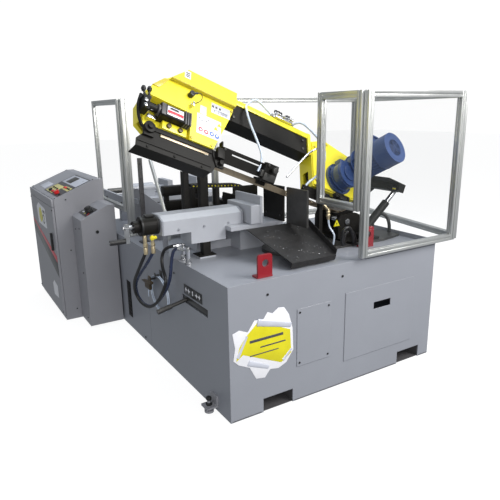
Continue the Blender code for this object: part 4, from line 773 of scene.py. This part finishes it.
def drive_details():
    """The gear unit's flanges, the motor's fins, grille and glands, and the drive's bolts and bracket."""
    at = WHEEL_PLANE
    s0, t0 = DRIVE_S, WHEEL_T
    ms, mt = DRIVE_S + 0.1, WHEEL_T + 0.085
    form = bmesh.new()
    studs(form, spots(s0, t0, 0.094, 8, 0.2), "y", -0.0855, -0.093, 0.0085, at, **HEX)
    bar(form, (s0, -0.1695, t0), (s0, -0.179, t0), 0.05, at, sides=32)
    bar(form, (s0, -0.098, t0), (s0, -0.104, t0), 0.092, at, sides=40)
    bar(form, (s0, -0.15, t0), (s0, -0.156, t0), 0.089, at, sides=40)
    bar(form, (ms, -0.13, mt), (ms, -0.136, mt), 0.092, at, sides=40)
    bar(form, (ms, -0.188, mt), (ms, -0.196, mt), 0.106, at, sides=40)
    studs(form, spots(ms, mt, 0.095, 6), "y", -0.1955, -0.203, 0.008, at, **HEX)
    block(form, (s0 - 0.055, -0.15, t0 + 0.05), (s0 + 0.01, -0.1, t0 + 0.1), at, 0.006)
    block(form, (ms - 0.062, -0.33, mt + 0.1352), (ms + 0.062, -0.205, mt + 0.145), at, 0.003)
    piece("gear_fittings", form, BLUE, "bow")
    form = bmesh.new()
    for i in range(30):
        a = math.tau * i / 30
        if abs((math.degrees(a) - 90 + 180) % 360 - 180) < 42:
            continue
        turn = at @ Matrix.Translation((ms, 0, mt)) @ Matrix.Rotation(-a, 4, "Y")
        block(form, (0.0865, -0.345, -0.0016), (0.0975, -0.205, 0.0016), turn, 0.0006)
    piece("motor_fins", form, BLUE, "bow")
    form = bmesh.new()
    for radius in (0.014, 0.024, 0.034, 0.044, 0.053):
        washer(form, ms, mt, radius, radius - 0.0032, -0.4562, -0.454, "y", at, 40)
    for i in range(3):
        a = math.pi * i / 3
        across = Vector((math.cos(a), 0, math.sin(a))) * 0.0555
        middle = Vector((ms, -0.4548, mt))
        bar(form, middle - across, middle + across, 0.0016, at, sides=8, bevel=0)
    washer(form, ms, mt, 0.0995, 0.097, -0.362, -0.354, "y", at, 48)
    studs(form, spots(ms, mt, 0.08, 24), "y", -0.4548, -0.456, 0.0045, at, sides=12, bevel=0)
    piece("cowl_grille", form, BLUE, "bow")
    form = bmesh.new()
    for ds, dt in ((-0.052, -0.01), (0.052, -0.01)):
        bar(form, (ms + ds, -0.262, mt + 0.105 + dt), (ms + ds * 1.5, -0.262, mt + 0.105 + dt), 0.014, at)
    piece("cable_glands", form, PLASTIC, "bow")
    # a thin strip on the drive cover and its bolts, in yellow painted shade
    form = bmesh.new()
    sheet(form, [(0.19, 0.09), (0.42, 0.09), (0.43, 0.098), (0.19, 0.098)], -0.07, -0.0664, "y", at)
    studs(form, ((0.205, 0.13), (0.205, 0.37), (0.32, 0.425), (0.585, 0.2), (0.56, 0.33)), "y", -0.0662,
          -0.0715, 0.008, at, **HEX)
    piece("drive_cover_bolts", form, YELLOW_PAINTED_SHADE, "bow")
    form = bmesh.new()
    block(form, (0.35, -0.095, 0.05), (0.47, -0.062, 0.082), at, 0.004)
    block(form, (0.37, -0.108, 0.034), (0.43, -0.066, 0.06), at, 0.004)
    for s in (0.365, 0.41, 0.455):
        hexagon(form, (s, -0.0955, 0.066), (s, -0.102, 0.066), 0.009, at)
    piece("lower_drive_bracket", form, BLACK, "bow")


# ---------------------------------------------------------------- vise, table and turntable
def vise_details():
    form = bmesh.new()
    for x in PORT_XS:
        hexagon(form, (x, VISE_Y, PORT_Z + 0.002), (x, VISE_Y, PORT_Z + 0.02), 0.0125)
        bar(form, (x, VISE_Y, PORT_Z - 0.001), (x, VISE_Y, PORT_Z - 0.042), 0.0118)
        bar(form, (x, VISE_Y, PORT_Z + 0.018), (x, VISE_Y, PORT_Z + 0.068), 0.01)
    piece("vise_fittings", form, BRASS, "base")
    form = bmesh.new()
    bar(form, (-0.152, VISE_Y - 0.046, 0.912), (-0.152, VISE_Y - 0.058, 0.905), 0.013)
    bar(form, (-0.133, VISE_Y - 0.046, 0.912), (-0.133, VISE_Y - 0.056, 0.905), 0.009)
    piece("vise_plugs", form, YELLOW, "base")
    form = bmesh.new()
    for x in (-0.203, -0.112):
        washer(form, VISE_Y, VISE_Z, 0.0545, 0.0525, x, x + 0.01, "x", steps=40)
    studs(form, spots(VISE_Y, VISE_Z, 0.0285, 4, math.pi / 4), "x", -0.2395, -0.2445, 0.005, **HEX)
    block(form, (-0.17, VISE_Y - 0.02, VISE_Z + 0.05), (-0.12, VISE_Y + 0.02, VISE_Z + 0.064), bevel=0.003)
    piece("cylinder_rings", form, PLASTIC, "base")
    form = bmesh.new()
    for x in (-0.098, 0.408):
        sheet(form, [(VISE_Y - 0.0765, 0.918), (VISE_Y - 0.0765, 0.996), (VISE_Y - 0.021, 1.0235),
                     (VISE_Y + 0.0765, 1.0235), (VISE_Y + 0.0765, 1.0215), (VISE_Y - 0.021, 1.0215),
                     (VISE_Y - 0.075, 0.9945), (VISE_Y - 0.075, 0.918)], x, x + 0.008, "x")
    for x in (0.0, 0.16, 0.32):
        hexagon(form, (x, VISE_Y - 0.0752, 0.94), (x, VISE_Y - 0.081, 0.94), 0.007)
    piece("vise_seams", form, GREY, "base")
    form = bmesh.new()
    block(form, (0.148, 0.543, BASE_H + 0.011), (0.197, 0.587, 0.844), bevel=0.002)
    block(form, (0.118, 0.533, BASE_H + 0.0108), (0.227, 0.627, BASE_H + 0.018), bevel=0.002)
    for x in (0.135, 0.21):
        hexagon(form, (x, 0.56, BASE_H + 0.018), (x, 0.56, BASE_H + 0.026), 0.008)
    piece("vise_post_cover", form, BLACK, "base")
    form = bmesh.new()
    for z in (VISE_Z - 0.07, VISE_Z):
        hexagon(form, (-0.2905, VISE_Y, z), (-0.2975, VISE_Y, z), 0.009)
    piece("crank_nuts", form, BRIGHT, "vise_crank")


def fittings_on_base():
    """Hose unions, screws, the lever slot's plate, seams, the fork pockets' liners and the foot's nuts."""
    form = bmesh.new()
    for x, y in (ELBOW, UNION):
        bar(form, (x, y, BASE_H + 0.0005), (x, y, BASE_H + 0.012), 0.016)
        hexagon(form, (x, y, BASE_H + 0.016), (x, y, BASE_H + 0.034), 0.0145)
        bar(form, (x, y, ELBOW_Z - 0.013), (x, y, ELBOW_Z + 0.01), 0.0125)
    hexagon(form, (-0.0096, ELBOW[1] + 0.0311, ELBOW_Z), (0.004, ELBOW[1] + 0.017, ELBOW_Z), 0.0135)
    hexagon(form, (-0.004, UNION[1] + 0.0082, ELBOW_Z), (0.014, UNION[1] + 0.0045, ELBOW_Z), 0.0135)
    bar(form, (-0.0225, ELBOW[1] + 0.0448, ELBOW_Z), (-0.01, ELBOW[1] + 0.0315, ELBOW_Z), 0.0118)
    bar(form, (-0.024, UNION[1] + 0.0123, ELBOW_Z), (-0.0055, UNION[1] + 0.0085, ELBOW_Z), 0.0118)
    piece("hose_unions", form, BRIGHT, "base")
    form = bmesh.new()
    studs(form, ((0.44, 0.525), (0.641, 0.525), (0.44, 0.229), (0.641, 0.229)), "y", -0.0032, -0.0065, 0.0062)
    studs(form, ((0.233, 0.669), (0.738, 0.676)), "y", -0.0002, -0.004, 0.007)
    studs(form, ((1.239, 0.57), (1.225, 0.028), (0.649, 0.658)), "x", -0.0002, -0.004, 0.007)
    studs(form, ((1.75, 0.76), (1.86, 0.74), (1.75, 0.42), (1.75, 0.06)), "x", -0.2662, -0.27, 0.006)
    bar(form, (-0.155, 1.6798, 0.735), (-0.155, 1.675, 0.735), 0.0125)
    for z in (0.955, 0.56, 0.08):
        bar(form, (-0.3, 1.9438, z), (-0.3, 1.94, z), 0.0055)
    piece("black_screws", form, BLACK_LABEL, "base")
    plate("slot_plate", (-0.0026, 0.283, 0.573), (-0.0002, 0.512, 0.631), BLACK_LABEL, "base", bevel=0.0006)
    form = bmesh.new()
    for y in (0.315, 0.35, 0.445, 0.48):
        way = 1 if y > 0.4 else -1
        arrow = [(y - 0.014 * way, 0.599), (y, 0.599), (y, 0.588), (y + 0.014 * way, 0.603),
                 (y, 0.618), (y, 0.607), (y - 0.014 * way, 0.607)]
        sheet(form, arrow, -0.0034, -0.0026, "x")
    block(form, (-0.0034, 0.392, 0.59), (-0.0026, 0.403, 0.616), bevel=0.0002)
    piece("slot_plate_marks", form, WHITE_LABEL, "base")
    plate("slot_shadow", (0.0066, 0.224, 0.518), (0.012, 0.546, 0.56), BLACK_LABEL, "base", bevel=0.0005)
    form = bmesh.new()
    for x0, x1 in ((0.01, 0.19), (0.41, 1.21), (1.425, 1.5)):
        block(form, (x0, -0.0008, 0.004), (x1, -0.0001, 0.008), bevel=0.0002)
    block(form, (0.905, -0.0012, BASE_H - 0.004), (1.5, -0.0001, BASE_H - 0.001), bevel=0.0002)
    piece("base_seams", form, DARK_GREY_PLASTIC, "base")
    # the fork pockets' liners, in dark grey as painted shade inside the pockets
    form = bmesh.new()
    front, back, gap, low = 0.0065, 1.05, 0.0002, 0.0012
    for x0 in POCKET_XS:
        x1 = x0 + POCKET_W
        for z in (POCKET_H, low):
            block(form, (x0 - LINER_T, front, z), (x1 + LINER_T, back, z + LINER_T))
        block(form, (x0 - LINER_T, front, low + LINER_T), (x0 - gap, back, POCKET_H))
        block(form, (x1 + gap, front, low + LINER_T), (x1 + LINER_T, back, POCKET_H))
    piece("fork_pocket_liners", form, DARK_GREY_PLASTIC, "base")
    form = bmesh.new()
    for low, high, radius in ((0.0405, 0.054, 0.017), (0.0145, 0.0275, 0.017), (0.07, 0.088, 0.015)):
        hexagon(form, (*FOOT, low), (*FOOT, high), radius)
    piece("foot_nuts", form, PLASTIC, "base")


def sticker():
    """A generic peeled sticker on the base's front: a pale torn edge round plain yellow, with no words."""
    silver = [(0.205, 0.54), (0.232, 0.574), (0.262, 0.56), (0.3, 0.584), (0.337, 0.578), (0.368, 0.532),
              (0.392, 0.45), (0.398, 0.32), (0.352, 0.258), (0.3, 0.236), (0.246, 0.246), (0.212, 0.206),
              (0.157, 0.215), (0.118, 0.29), (0.052, 0.322), (0.022, 0.352), (0.034, 0.42), (0.02, 0.5),
              (0.06, 0.512), (0.11, 0.49), (0.15, 0.545)]
    yellow = [(0.167, 0.528), (0.25, 0.5), (0.376, 0.444), (0.384, 0.307), (0.352, 0.286), (0.317, 0.266),
              (0.2, 0.318), (0.08, 0.372), (0.038, 0.345), (0.06, 0.42), (0.1, 0.47)]
    profile("sticker_silver", WHITE_LABEL, "base", silver, -0.0018, -0.0003, "y", bevel=0.0003)
    profile("sticker_yellow", YELLOW_LABEL, "base", yellow, -0.0026, -0.0018, "y", bevel=0.0003)
    form = bmesh.new()
    flat = MACHINE @ Matrix.Diagonal((1, 0.32, 1, 1))
    for start, end, radius in (
        ((0.168, -0.007, 0.53), (0.38, -0.007, 0.47), 0.02),
        ((0.11, -0.006, 0.318), (0.235, -0.006, 0.262), 0.016),
        ((0.33, -0.005, 0.276), (0.386, -0.005, 0.33), 0.0095),
        ((0.048, -0.005, 0.362), (0.105, -0.005, 0.47), 0.01),
    ):
        bar(form, start, end, radius, flat, sides=24, end_radius=radius * 0.72, bevel=0)
    piece("sticker_curls", form, SILVER_LABEL, "base")
    blocks("sticker_bars", DARK_GREY_PLASTIC, "base", [
        ((0.12, -0.0034, 0.425), (0.33, -0.0026, 0.44)),
        ((0.185, -0.0034, 0.385), (0.345, -0.0026, 0.393)),
        ((0.12, -0.0034, 0.35), (0.3, -0.0026, 0.356)),
    ], bevel=0.0002)


def table_details():
    """Posts and dark plates behind the vise, strips on the bed and the jaws' bolts."""
    form = bmesh.new()
    for x0, x1, y, z0, z1 in ((0.158, 0.194, 0.8, 0.801, 1.24), (0.246, 0.299, 0.75, 0.801, 1.209),
                              (0.379, 0.404, 0.8, 0.926, 1.119)):
        block(form, (x0, y, z0), (x1, y + 0.014, z1), bevel=0.002)
        block(form, (x0, y + 0.013, z0), (x0 + 0.006, y + 0.045, z1 - 0.01), bevel=0.001)
    block(form, (0.505, 0.8, 1.02), (0.69, 0.812, 1.11), bevel=0.002)
    block(form, (0.5, 0.78, 0.926), (0.512, 0.94, 1.06), bevel=0.002)
    block(form, (0.31, 0.905, 0.926), (0.69, 0.915, 0.985), bevel=0.002)
    piece("table_posts", form, BLACK, "base")
    form = bmesh.new()
    for y in (0.6, 0.7, 0.8, 0.88):
        block(form, (0.515, y - 0.004, BED_Z + 0.0001), (0.635, y + 0.004, BED_Z + 0.0005), bevel=0.0001)
    piece("bed_strips", form, IRON, "base")
    form = bmesh.new()
    for z in (0.99, 1.04, 1.1):
        hexagon(form, (0.6545, 0.6, z), (0.662, 0.6, z), 0.008)
    studs(form, ((0.47, 1.1), (0.62, 1.1), (0.47, 0.96), (0.62, 0.96)), "x", 0.6398, 0.6385, 0.006)
    piece("jaw_bolts", form, IRON, "base")


def energy_chain():
    """A cable chain that loops from the feed's side to the table, with yellow marks on its links."""
    places = [(0.293, 1.0, 1.111), (0.4, 1.0, 1.105), (0.52, 1.0, 1.096), (0.64, 1.0, 1.086),
              (0.684, 1.0, 1.06), (0.664, 1.0, 1.026), (0.6, 1.0, 1.01), (0.545, 1.0, 1.007)]
    route = smooth_route(places, 0.024)
    links, marks = bmesh.new(), bmesh.new()
    for before, after in zip(route, route[1:]):
        along = after - before
        turn = Matrix.Rotation(-math.atan2(along.z, along.x), 4, "Y")
        at = MACHINE @ Matrix.Translation((before + after) / 2) @ turn
        reach = along.length / 2
        block(links, (-reach - 0.002, -0.028, -0.0135), (reach + 0.002, -0.022, 0.0135), at, 0.002)
        block(links, (-reach - 0.002, 0.022, -0.0135), (reach + 0.002, 0.028, 0.0135), at, 0.002)
        block(links, (-reach * 0.5, -0.024, 0.008), (reach * 0.5, 0.024, 0.0125), at, 0.001)
        block(links, (-reach * 0.5, -0.024, -0.0125), (reach * 0.5, 0.024, -0.008), at, 0.001)
        bar(marks, (0, -0.0278, 0), (0, -0.0292, 0), 0.0048, at, bevel=0)
    piece("energy_chain", links, PLASTIC, "base")
    piece("energy_chain_marks", marks, YELLOW, "base")
    blocks("chain_brackets", BLACK, "base", [
        ((0.285, 0.965, 0.9255), (0.315, 1.035, 1.104)),
        ((0.52, 0.965, 0.9), (0.56, 1.035, 0.996)),
        ((0.285, 0.94, 0.895), (0.7, 1.035, 0.9248)),
    ], bevel=0.003)


def infeed_details():
    """Hoops over the infeed, its roller bank and bolts, the slanted strut, the stop post and a side sheet."""
    form = bmesh.new()
    for low, high in ((0.93, 0.985), (1.032, 1.088)):
        block(form, (0.199, 1.215, low), (0.49, 1.275, high), bevel=0.004)
        block(form, (0.19, 1.225, low - 0.012), (0.5, 1.265, low + 0.006), bevel=0.003)
    block(form, (0.21, 1.228, 0.916), (0.24, 1.262, 1.06), bevel=0.003)
    block(form, (0.455, 1.228, 0.916), (0.485, 1.262, 1.06), bevel=0.003)
    piece("infeed_hoops", form, BLACK, "base")
    form = bmesh.new()
    for i in range(5):
        y = 1.13 + 0.056 * i
        bar(form, (0.21, y, 0.896), (0.79, y, 0.896), 0.0235, sides=28)
    block(form, (0.204, 1.11, 0.84), (0.796, 1.43, 0.862), bevel=0.002)
    piece("infeed_roller_bank", form, IRON, "base")
    form = bmesh.new()
    block(form, (0.1995, 1.19, 0.801), (0.203, 2.815, 0.912), bevel=0.001)
    for y in (1.5, 1.85, 2.2):
        block(form, (0.206, y, 0.872), (0.794, y + 0.04, 0.88), bevel=0.001)
    for y in (1.3, 1.7, 2.1, 2.5):
        hexagon(form, (0.18, y, 0.86), (0.173, y, 0.86), 0.009)
    piece("infeed_bolts", form, IRON, "base")
    form = bmesh.new()
    bar(form, (0.144, 1.3, 1.268), (0.149, 1.1, 0.939), 0.012)
    bar(form, (0.149, 1.104, 0.945), (0.149, 1.085, 0.915), 0.014)
    block(form, (0.128, 1.065, 0.7505), (0.17, 1.1, 0.92), bevel=0.003)
    piece("slanted_strut", form, ALUMINIUM, "base")
    form = bmesh.new()
    block(form, (0.056, 1.295, REAR_H + 0.0005), (0.086, 1.312, 1.285), bevel=0.002)
    block(form, (0.04, 1.28, REAR_H + 0.0005), (0.102, 1.34, REAR_H + 0.01), bevel=0.002)
    for z in (0.95, 1.05, 1.15, 1.25):
        hexagon(form, (0.071, 1.2948, z), (0.071, 1.289, z), 0.007)
    piece("stop_post", form, DARK_GREY_PLASTIC, "base")
    profile("infeed_side_sheet", CABINET_GREY, "base",
            [(1.14, 0.701), (1.9, 0.701), (1.9, 1.0), (1.66, 1.03), (1.16, 0.96), (1.14, 0.93)],
            0.166, 0.17, "x", bevel=0.001)


def pivot_details():
    """A plain yellow triangle, the coolant unions with their drop hose, and two looping pivot hoses."""
    profile("warning_triangle", YELLOW_LABEL, "turntable", [(0.985, 0.862), (1.035, 0.862), (1.01, 0.905)],
            0.369, 0.3712, "y", bevel=0.0003)
    form = bmesh.new()
    bar(form, (1.01, 0.3686, 0.874), (1.01, 0.3682, 0.886), 0.0028, bevel=0)
    piece("warning_mark", form, BLACK_LABEL, "turntable")
    form = bmesh.new()
    for x, y, low, high in ((0.872, 0.345, 1.02, 1.1), (0.905, 0.33, 0.925, 0.99)):
        bar(form, (x, y, low), (x, y, high), 0.0095)
        hexagon(form, (x, y, low + 0.018), (x, y, low + 0.034), 0.014)
        hexagon(form, (x, y, high - 0.024), (x, y, high - 0.01), 0.013)
    bar(form, (0.872, 0.345, 1.024), (0.905, 0.33, 0.984), 0.008)
    piece("coolant_unions", form, BRASS, "base")
    drop = [(0.905, 0.33, 0.93), (0.912, 0.326, 0.88), (0.93, 0.3, 0.83), (0.918, 0.29, 0.785),
            (0.915, 0.29, 0.7515)]
    hose("coolant_drop", drop, 0.006, CLEAR_HOSE, "base", spacing=0.014, resolution=3)
    for i, (x, y, rise) in enumerate(((0.96, 0.25, 0.1), (0.985, 0.262, 0.075))):
        loop = [(x, y, 0.7675), (x - 0.012, y - 0.004, 0.8), (x - 0.004, y - 0.01, 0.767 + rise),
                (x + 0.04, y - 0.012, 0.775 + rise), (x + 0.075, y - 0.01, 0.8), (x + 0.085, y, 0.7675)]
        hose(f"pivot_hose_{i + 1}", loop, 0.01, RUBBER, "turntable", MACHINE, 0.014)
    form = bmesh.new()
    bar(form, (0.915, 0.29, 0.7505), (0.915, 0.29, 0.772), 0.012)
    piece("coolant_gland", form, PLASTIC, "base")


# ---------------------------------------------------------------- cabinets
def cabinet_details():
    """Plain panels, marks and lamps on the desk, and generic graphics on the cabinet's door."""
    plate("desk_panel", (0.034, 0.02, 0.0002), (0.316, 0.5, 0.0014), DARK_GREY_PLASTIC, "base", DESK,
          bevel=0.0006)
    blocks("desk_plate", SILVER_LABEL, "base", [
        ((0.19, 0.04, 0.0014), (0.304, 0.48, 0.0024)),
        ((0.05, 0.56, 0.0002), (0.13, 0.76, 0.0018)),
    ], DESK, bevel=0.0006)
    blocks("desk_legends", CREAM_LABEL, "base", [
        ((0.042, 0.245, 0.0014), (0.15, 0.48, 0.0024)),
        ((0.12, 0.035, 0.0014), (0.165, 0.23, 0.0024)),
    ], DESK, bevel=0.0006)
    plate("desk_display", (0.205, 0.25, 0.0024), (0.29, 0.4, 0.0034), IRON, "base", DESK, bevel=0.0006)
    form = bmesh.new()
    studs(form, ((0.1, 0.28), (0.1, 0.345), (0.1, 0.41), (0.145, 0.06), (0.145, 0.11), (0.06, 0.05)), "z",
          0.0014, 0.01, 0.0088, DESK)
    piece("desk_knobs", form, PLASTIC, "base")
    form = bmesh.new()
    bar(form, (0.145, 0.16, 0.002), (0.145, 0.16, 0.01), 0.01, DESK)
    bar(form, (0.145, 0.205, 0.002), (0.145, 0.205, 0.01), 0.01, DESK)
    piece("desk_lamps", form, RED_PLASTIC, "base")
    form = bmesh.new()
    studs(form, ((0.012, 0.016), (0.012, 0.89), (0.33, 0.016), (0.33, 0.89)), "z", 0.0002, 0.0035, 0.006,
          DESK)
    piece("desk_screws", form, BLACK_LABEL, "base")
    plate("side_panel", (0.05, 0.028, 0.0002), (0.15, 0.235, 0.0022), BLACK_LABEL, "base", SIDE_TOP,
          bevel=0.0006)
    for name, paint, marks in (
        ("side_marks_red", RED_LABEL, ((0.07, 0.045), (0.085, 0.058))),
        ("side_marks_yellow", YELLOW_LABEL, ((0.072, 0.12), (0.12, 0.135))),
        ("side_marks_white", WHITE_LABEL, ((0.078, 0.165), (0.078, 0.19), (0.12, 0.2))),
    ):
        form = bmesh.new()
        for u, v in marks:
            block(form, (u - 0.006, v - 0.008, 0.0022), (u + 0.006, v + 0.008, 0.0028), SIDE_TOP, 0.0002)
        piece(name, form, paint, "base")
    form = bmesh.new()
    bar(form, (0.1, 0.08, 0.0024), (0.1, 0.08, 0.026), 0.0265, SIDE_TOP)
    bar(form, (0.1, 0.08, 0.0255), (0.1, 0.08, 0.046), 0.0225, SIDE_TOP)
    studs(form, spots(0.1, 0.08, 0.0255, 10), "z", 0.003, 0.025, 0.0035, SIDE_TOP, sides=10, bevel=0)
    piece("flow_knob_skirt", form, PLASTIC, "flow_knob")
    plate("cabinet_header", (-0.404, 1.95, 0.9025), (-0.3862, 2.844, 0.961), CABINET_GREY, "base",
          bevel=0.003)
    front = -0.4042
    profile("door_stripe", RED_LABEL, "cabinet_door",
            [(1.965, 0.52), (2.835, 0.7), (2.835, 0.672), (1.965, 0.47)],
            front - 0.0012, front, "x", bevel=0.0002)
    profile("door_shadow", BLACK_LABEL, "cabinet_door",
            [(1.965, 0.468), (2.835, 0.67), (2.835, 0.6), (1.965, 0.35)],
            front - 0.001, front, "x", bevel=0.0002)
    form = bmesh.new()
    sheet(form, [(2.24, 0.69), (2.57, 0.69), (2.59, 0.83), (2.5, 0.872), (2.25, 0.85)], front - 0.0012, front,
          "x")
    sheet(form, [(2.08, 0.15), (2.23, 0.14), (2.25, 0.23), (2.19, 0.27), (2.075, 0.25)], front - 0.0014,
          front, "x")
    piece("door_labels", form, WHITE_LABEL, "cabinet_door")
    profile("door_round", YELLOW_LABEL, "cabinet_door", ring(2.44, 0.775, 0.062, 32), front - 0.002,
            front - 0.0012, "x")
    form = bmesh.new()
    washer(form, 2.33, 0.755, 0.04, 0.03, front - 0.002, front - 0.0012, "x", steps=32)
    for i in range(3):
        block(form, (front - 0.002, 2.27 + 0.03 * i, 0.805), (front - 0.0012, 2.286 + 0.03 * i, 0.83),
              bevel=0.0002)
    piece("door_marks", form, DARK_GREY_PLASTIC, "cabinet_door")
    form = bmesh.new()
    for z in (0.062, 0.88):
        for y in (1.965, 2.83):
            bar(form, (front, y, z), (front - 0.004, y, z), 0.006)
    piece("door_screws", form, BLACK_LABEL, "cabinet_door")
    # a black plate with slats on the rear base's left face, painted shadow for the dark gap beside the side box
    form = bmesh.new()
    block(form, (-0.003, 1.48, 0.09), (-0.0002, 1.56, 0.37), bevel=0.0008)
    for i in range(8):
        block(form, (-0.005, 1.488, 0.11 + 0.032 * i), (-0.003, 1.552, 0.118 + 0.032 * i), bevel=0.0005)
    piece("rear_vent_painted_shadow", form, BLACK, "base")


def chute_details():
    """The chute's bolts, and metal chips scattered on it."""
    back, front, top, low = -0.03, -0.375, BED_Z - 0.001, 0.795
    slope = math.atan2(top - low, back - front)
    length = (back - front) / math.cos(slope)
    at = TURNTABLE @ Matrix.Translation((0, back, top)) @ Matrix.Rotation(slope, 4, "X")
    form = bmesh.new()
    studs(form, ((-0.18, -0.06), (0.04, -0.055), (-0.16, -length + 0.03), (0.03, -length + 0.03)), "z",
          0.0002, 0.003, 0.007, at)
    piece("chute_bolts", form, IRON, "turntable")
    form = bmesh.new()
    for i in range(60):
        u = -0.225 + 0.29 * ((i * 0.618) % 1.0)
        v = -0.03 - (length - 0.06) * ((i * 0.414 + 0.13) % 1.0)
        reach = 0.0012 + 0.0018 * ((i * 0.73) % 1.0)
        block(form, (u - reach, v - reach * 0.6, 0.0001), (u + reach, v + reach * 0.6, 0.0009), at, 0.0001)
    piece("chute_chips", form, BRIGHT, "turntable")


idler_details()
tension_details()
guard_details()
beam_details()
drive_details()
vise_details()
fittings_on_base()
sticker()
table_details()
energy_chain()
infeed_details()
pivot_details()
cabinet_details()
chute_details()


# ---------------------------------------------------------------- stage
def light(name, place, aim, size, power, colour=(1, 1, 1)):
    data = bpy.data.lights.new(name, "AREA")
    data.size = size
    data.energy = power
    data.color = colour
    lamp = bpy.data.objects.new(name, data)
    lamp.location = place
    lamp.rotation_euler = (Vector(aim) - Vector(place)).to_track_quat("-Z", "Y").to_euler()
    bpy.context.scene.collection.objects.link(lamp)


def stage():
    form = bmesh.new()
    reach = 30
    bmesh.ops.create_grid(form, x_segments=1, y_segments=1, size=reach)
    mesh = bpy.data.meshes.new("floor")
    form.to_mesh(mesh)
    form.free()
    floor = bpy.data.objects.new("floor", mesh)
    floor.location = (0, 0, -0.001)
    bpy.context.scene.collection.objects.link(floor)
    pale = surface("floor_paint", (0.14, 0.14, 0.14), 0.8, vary=0.01, scale=1)
    glow = pale.node_tree.nodes["Principled BSDF"]
    glow.inputs["Emission Color"].default_value = (1, 1, 1, 1)
    glow.inputs["Emission Strength"].default_value = 0.92
    mesh.materials.append(pale)
    floor.visible_diffuse = False
    floor.visible_glossy = False
    world = bpy.data.worlds.new("studio")
    world.use_nodes = True
    tree = world.node_tree
    link = tree.links.new
    soft = tree.nodes["Background"]
    soft.inputs["Color"].default_value = (0.9, 0.95, 1.0, 1)
    soft.inputs["Strength"].default_value = 0.33
    seen = node(tree, "ShaderNodeBackground", Color=(1, 1, 1, 1), Strength=1.05)
    ray = tree.nodes.new("ShaderNodeLightPath")
    either = tree.nodes.new("ShaderNodeMixShader")
    link(ray.outputs["Is Camera Ray"], either.inputs["Fac"])
    link(soft.outputs["Background"], either.inputs[1])
    link(seen.outputs["Background"], either.inputs[2])
    link(either.outputs["Shader"], tree.nodes["World Output"].inputs["Surface"])
    bpy.context.scene.world = world
    light("key", (2.6, -4.6, 4.2), (0, 0, 0.7), 3.0, 350, (1.0, 0.985, 0.96))
    light("sky", (0.5, 0.5, 5.5), (0, 0, 0.5), 5.0, 190, (0.86, 0.93, 1.0))
    light("front", (-1.8, -6.0, 2.4), (-0.4, 0, 0.6), 3.0, 130, (1.0, 0.99, 0.98))
    light("fill", (-4.5, -2.5, 2.2), (0, 0, 0.8), 3.0, 12, (1.0, 0.97, 0.93))
    bpy.context.scene.view_settings.view_transform = "Standard"


stage()
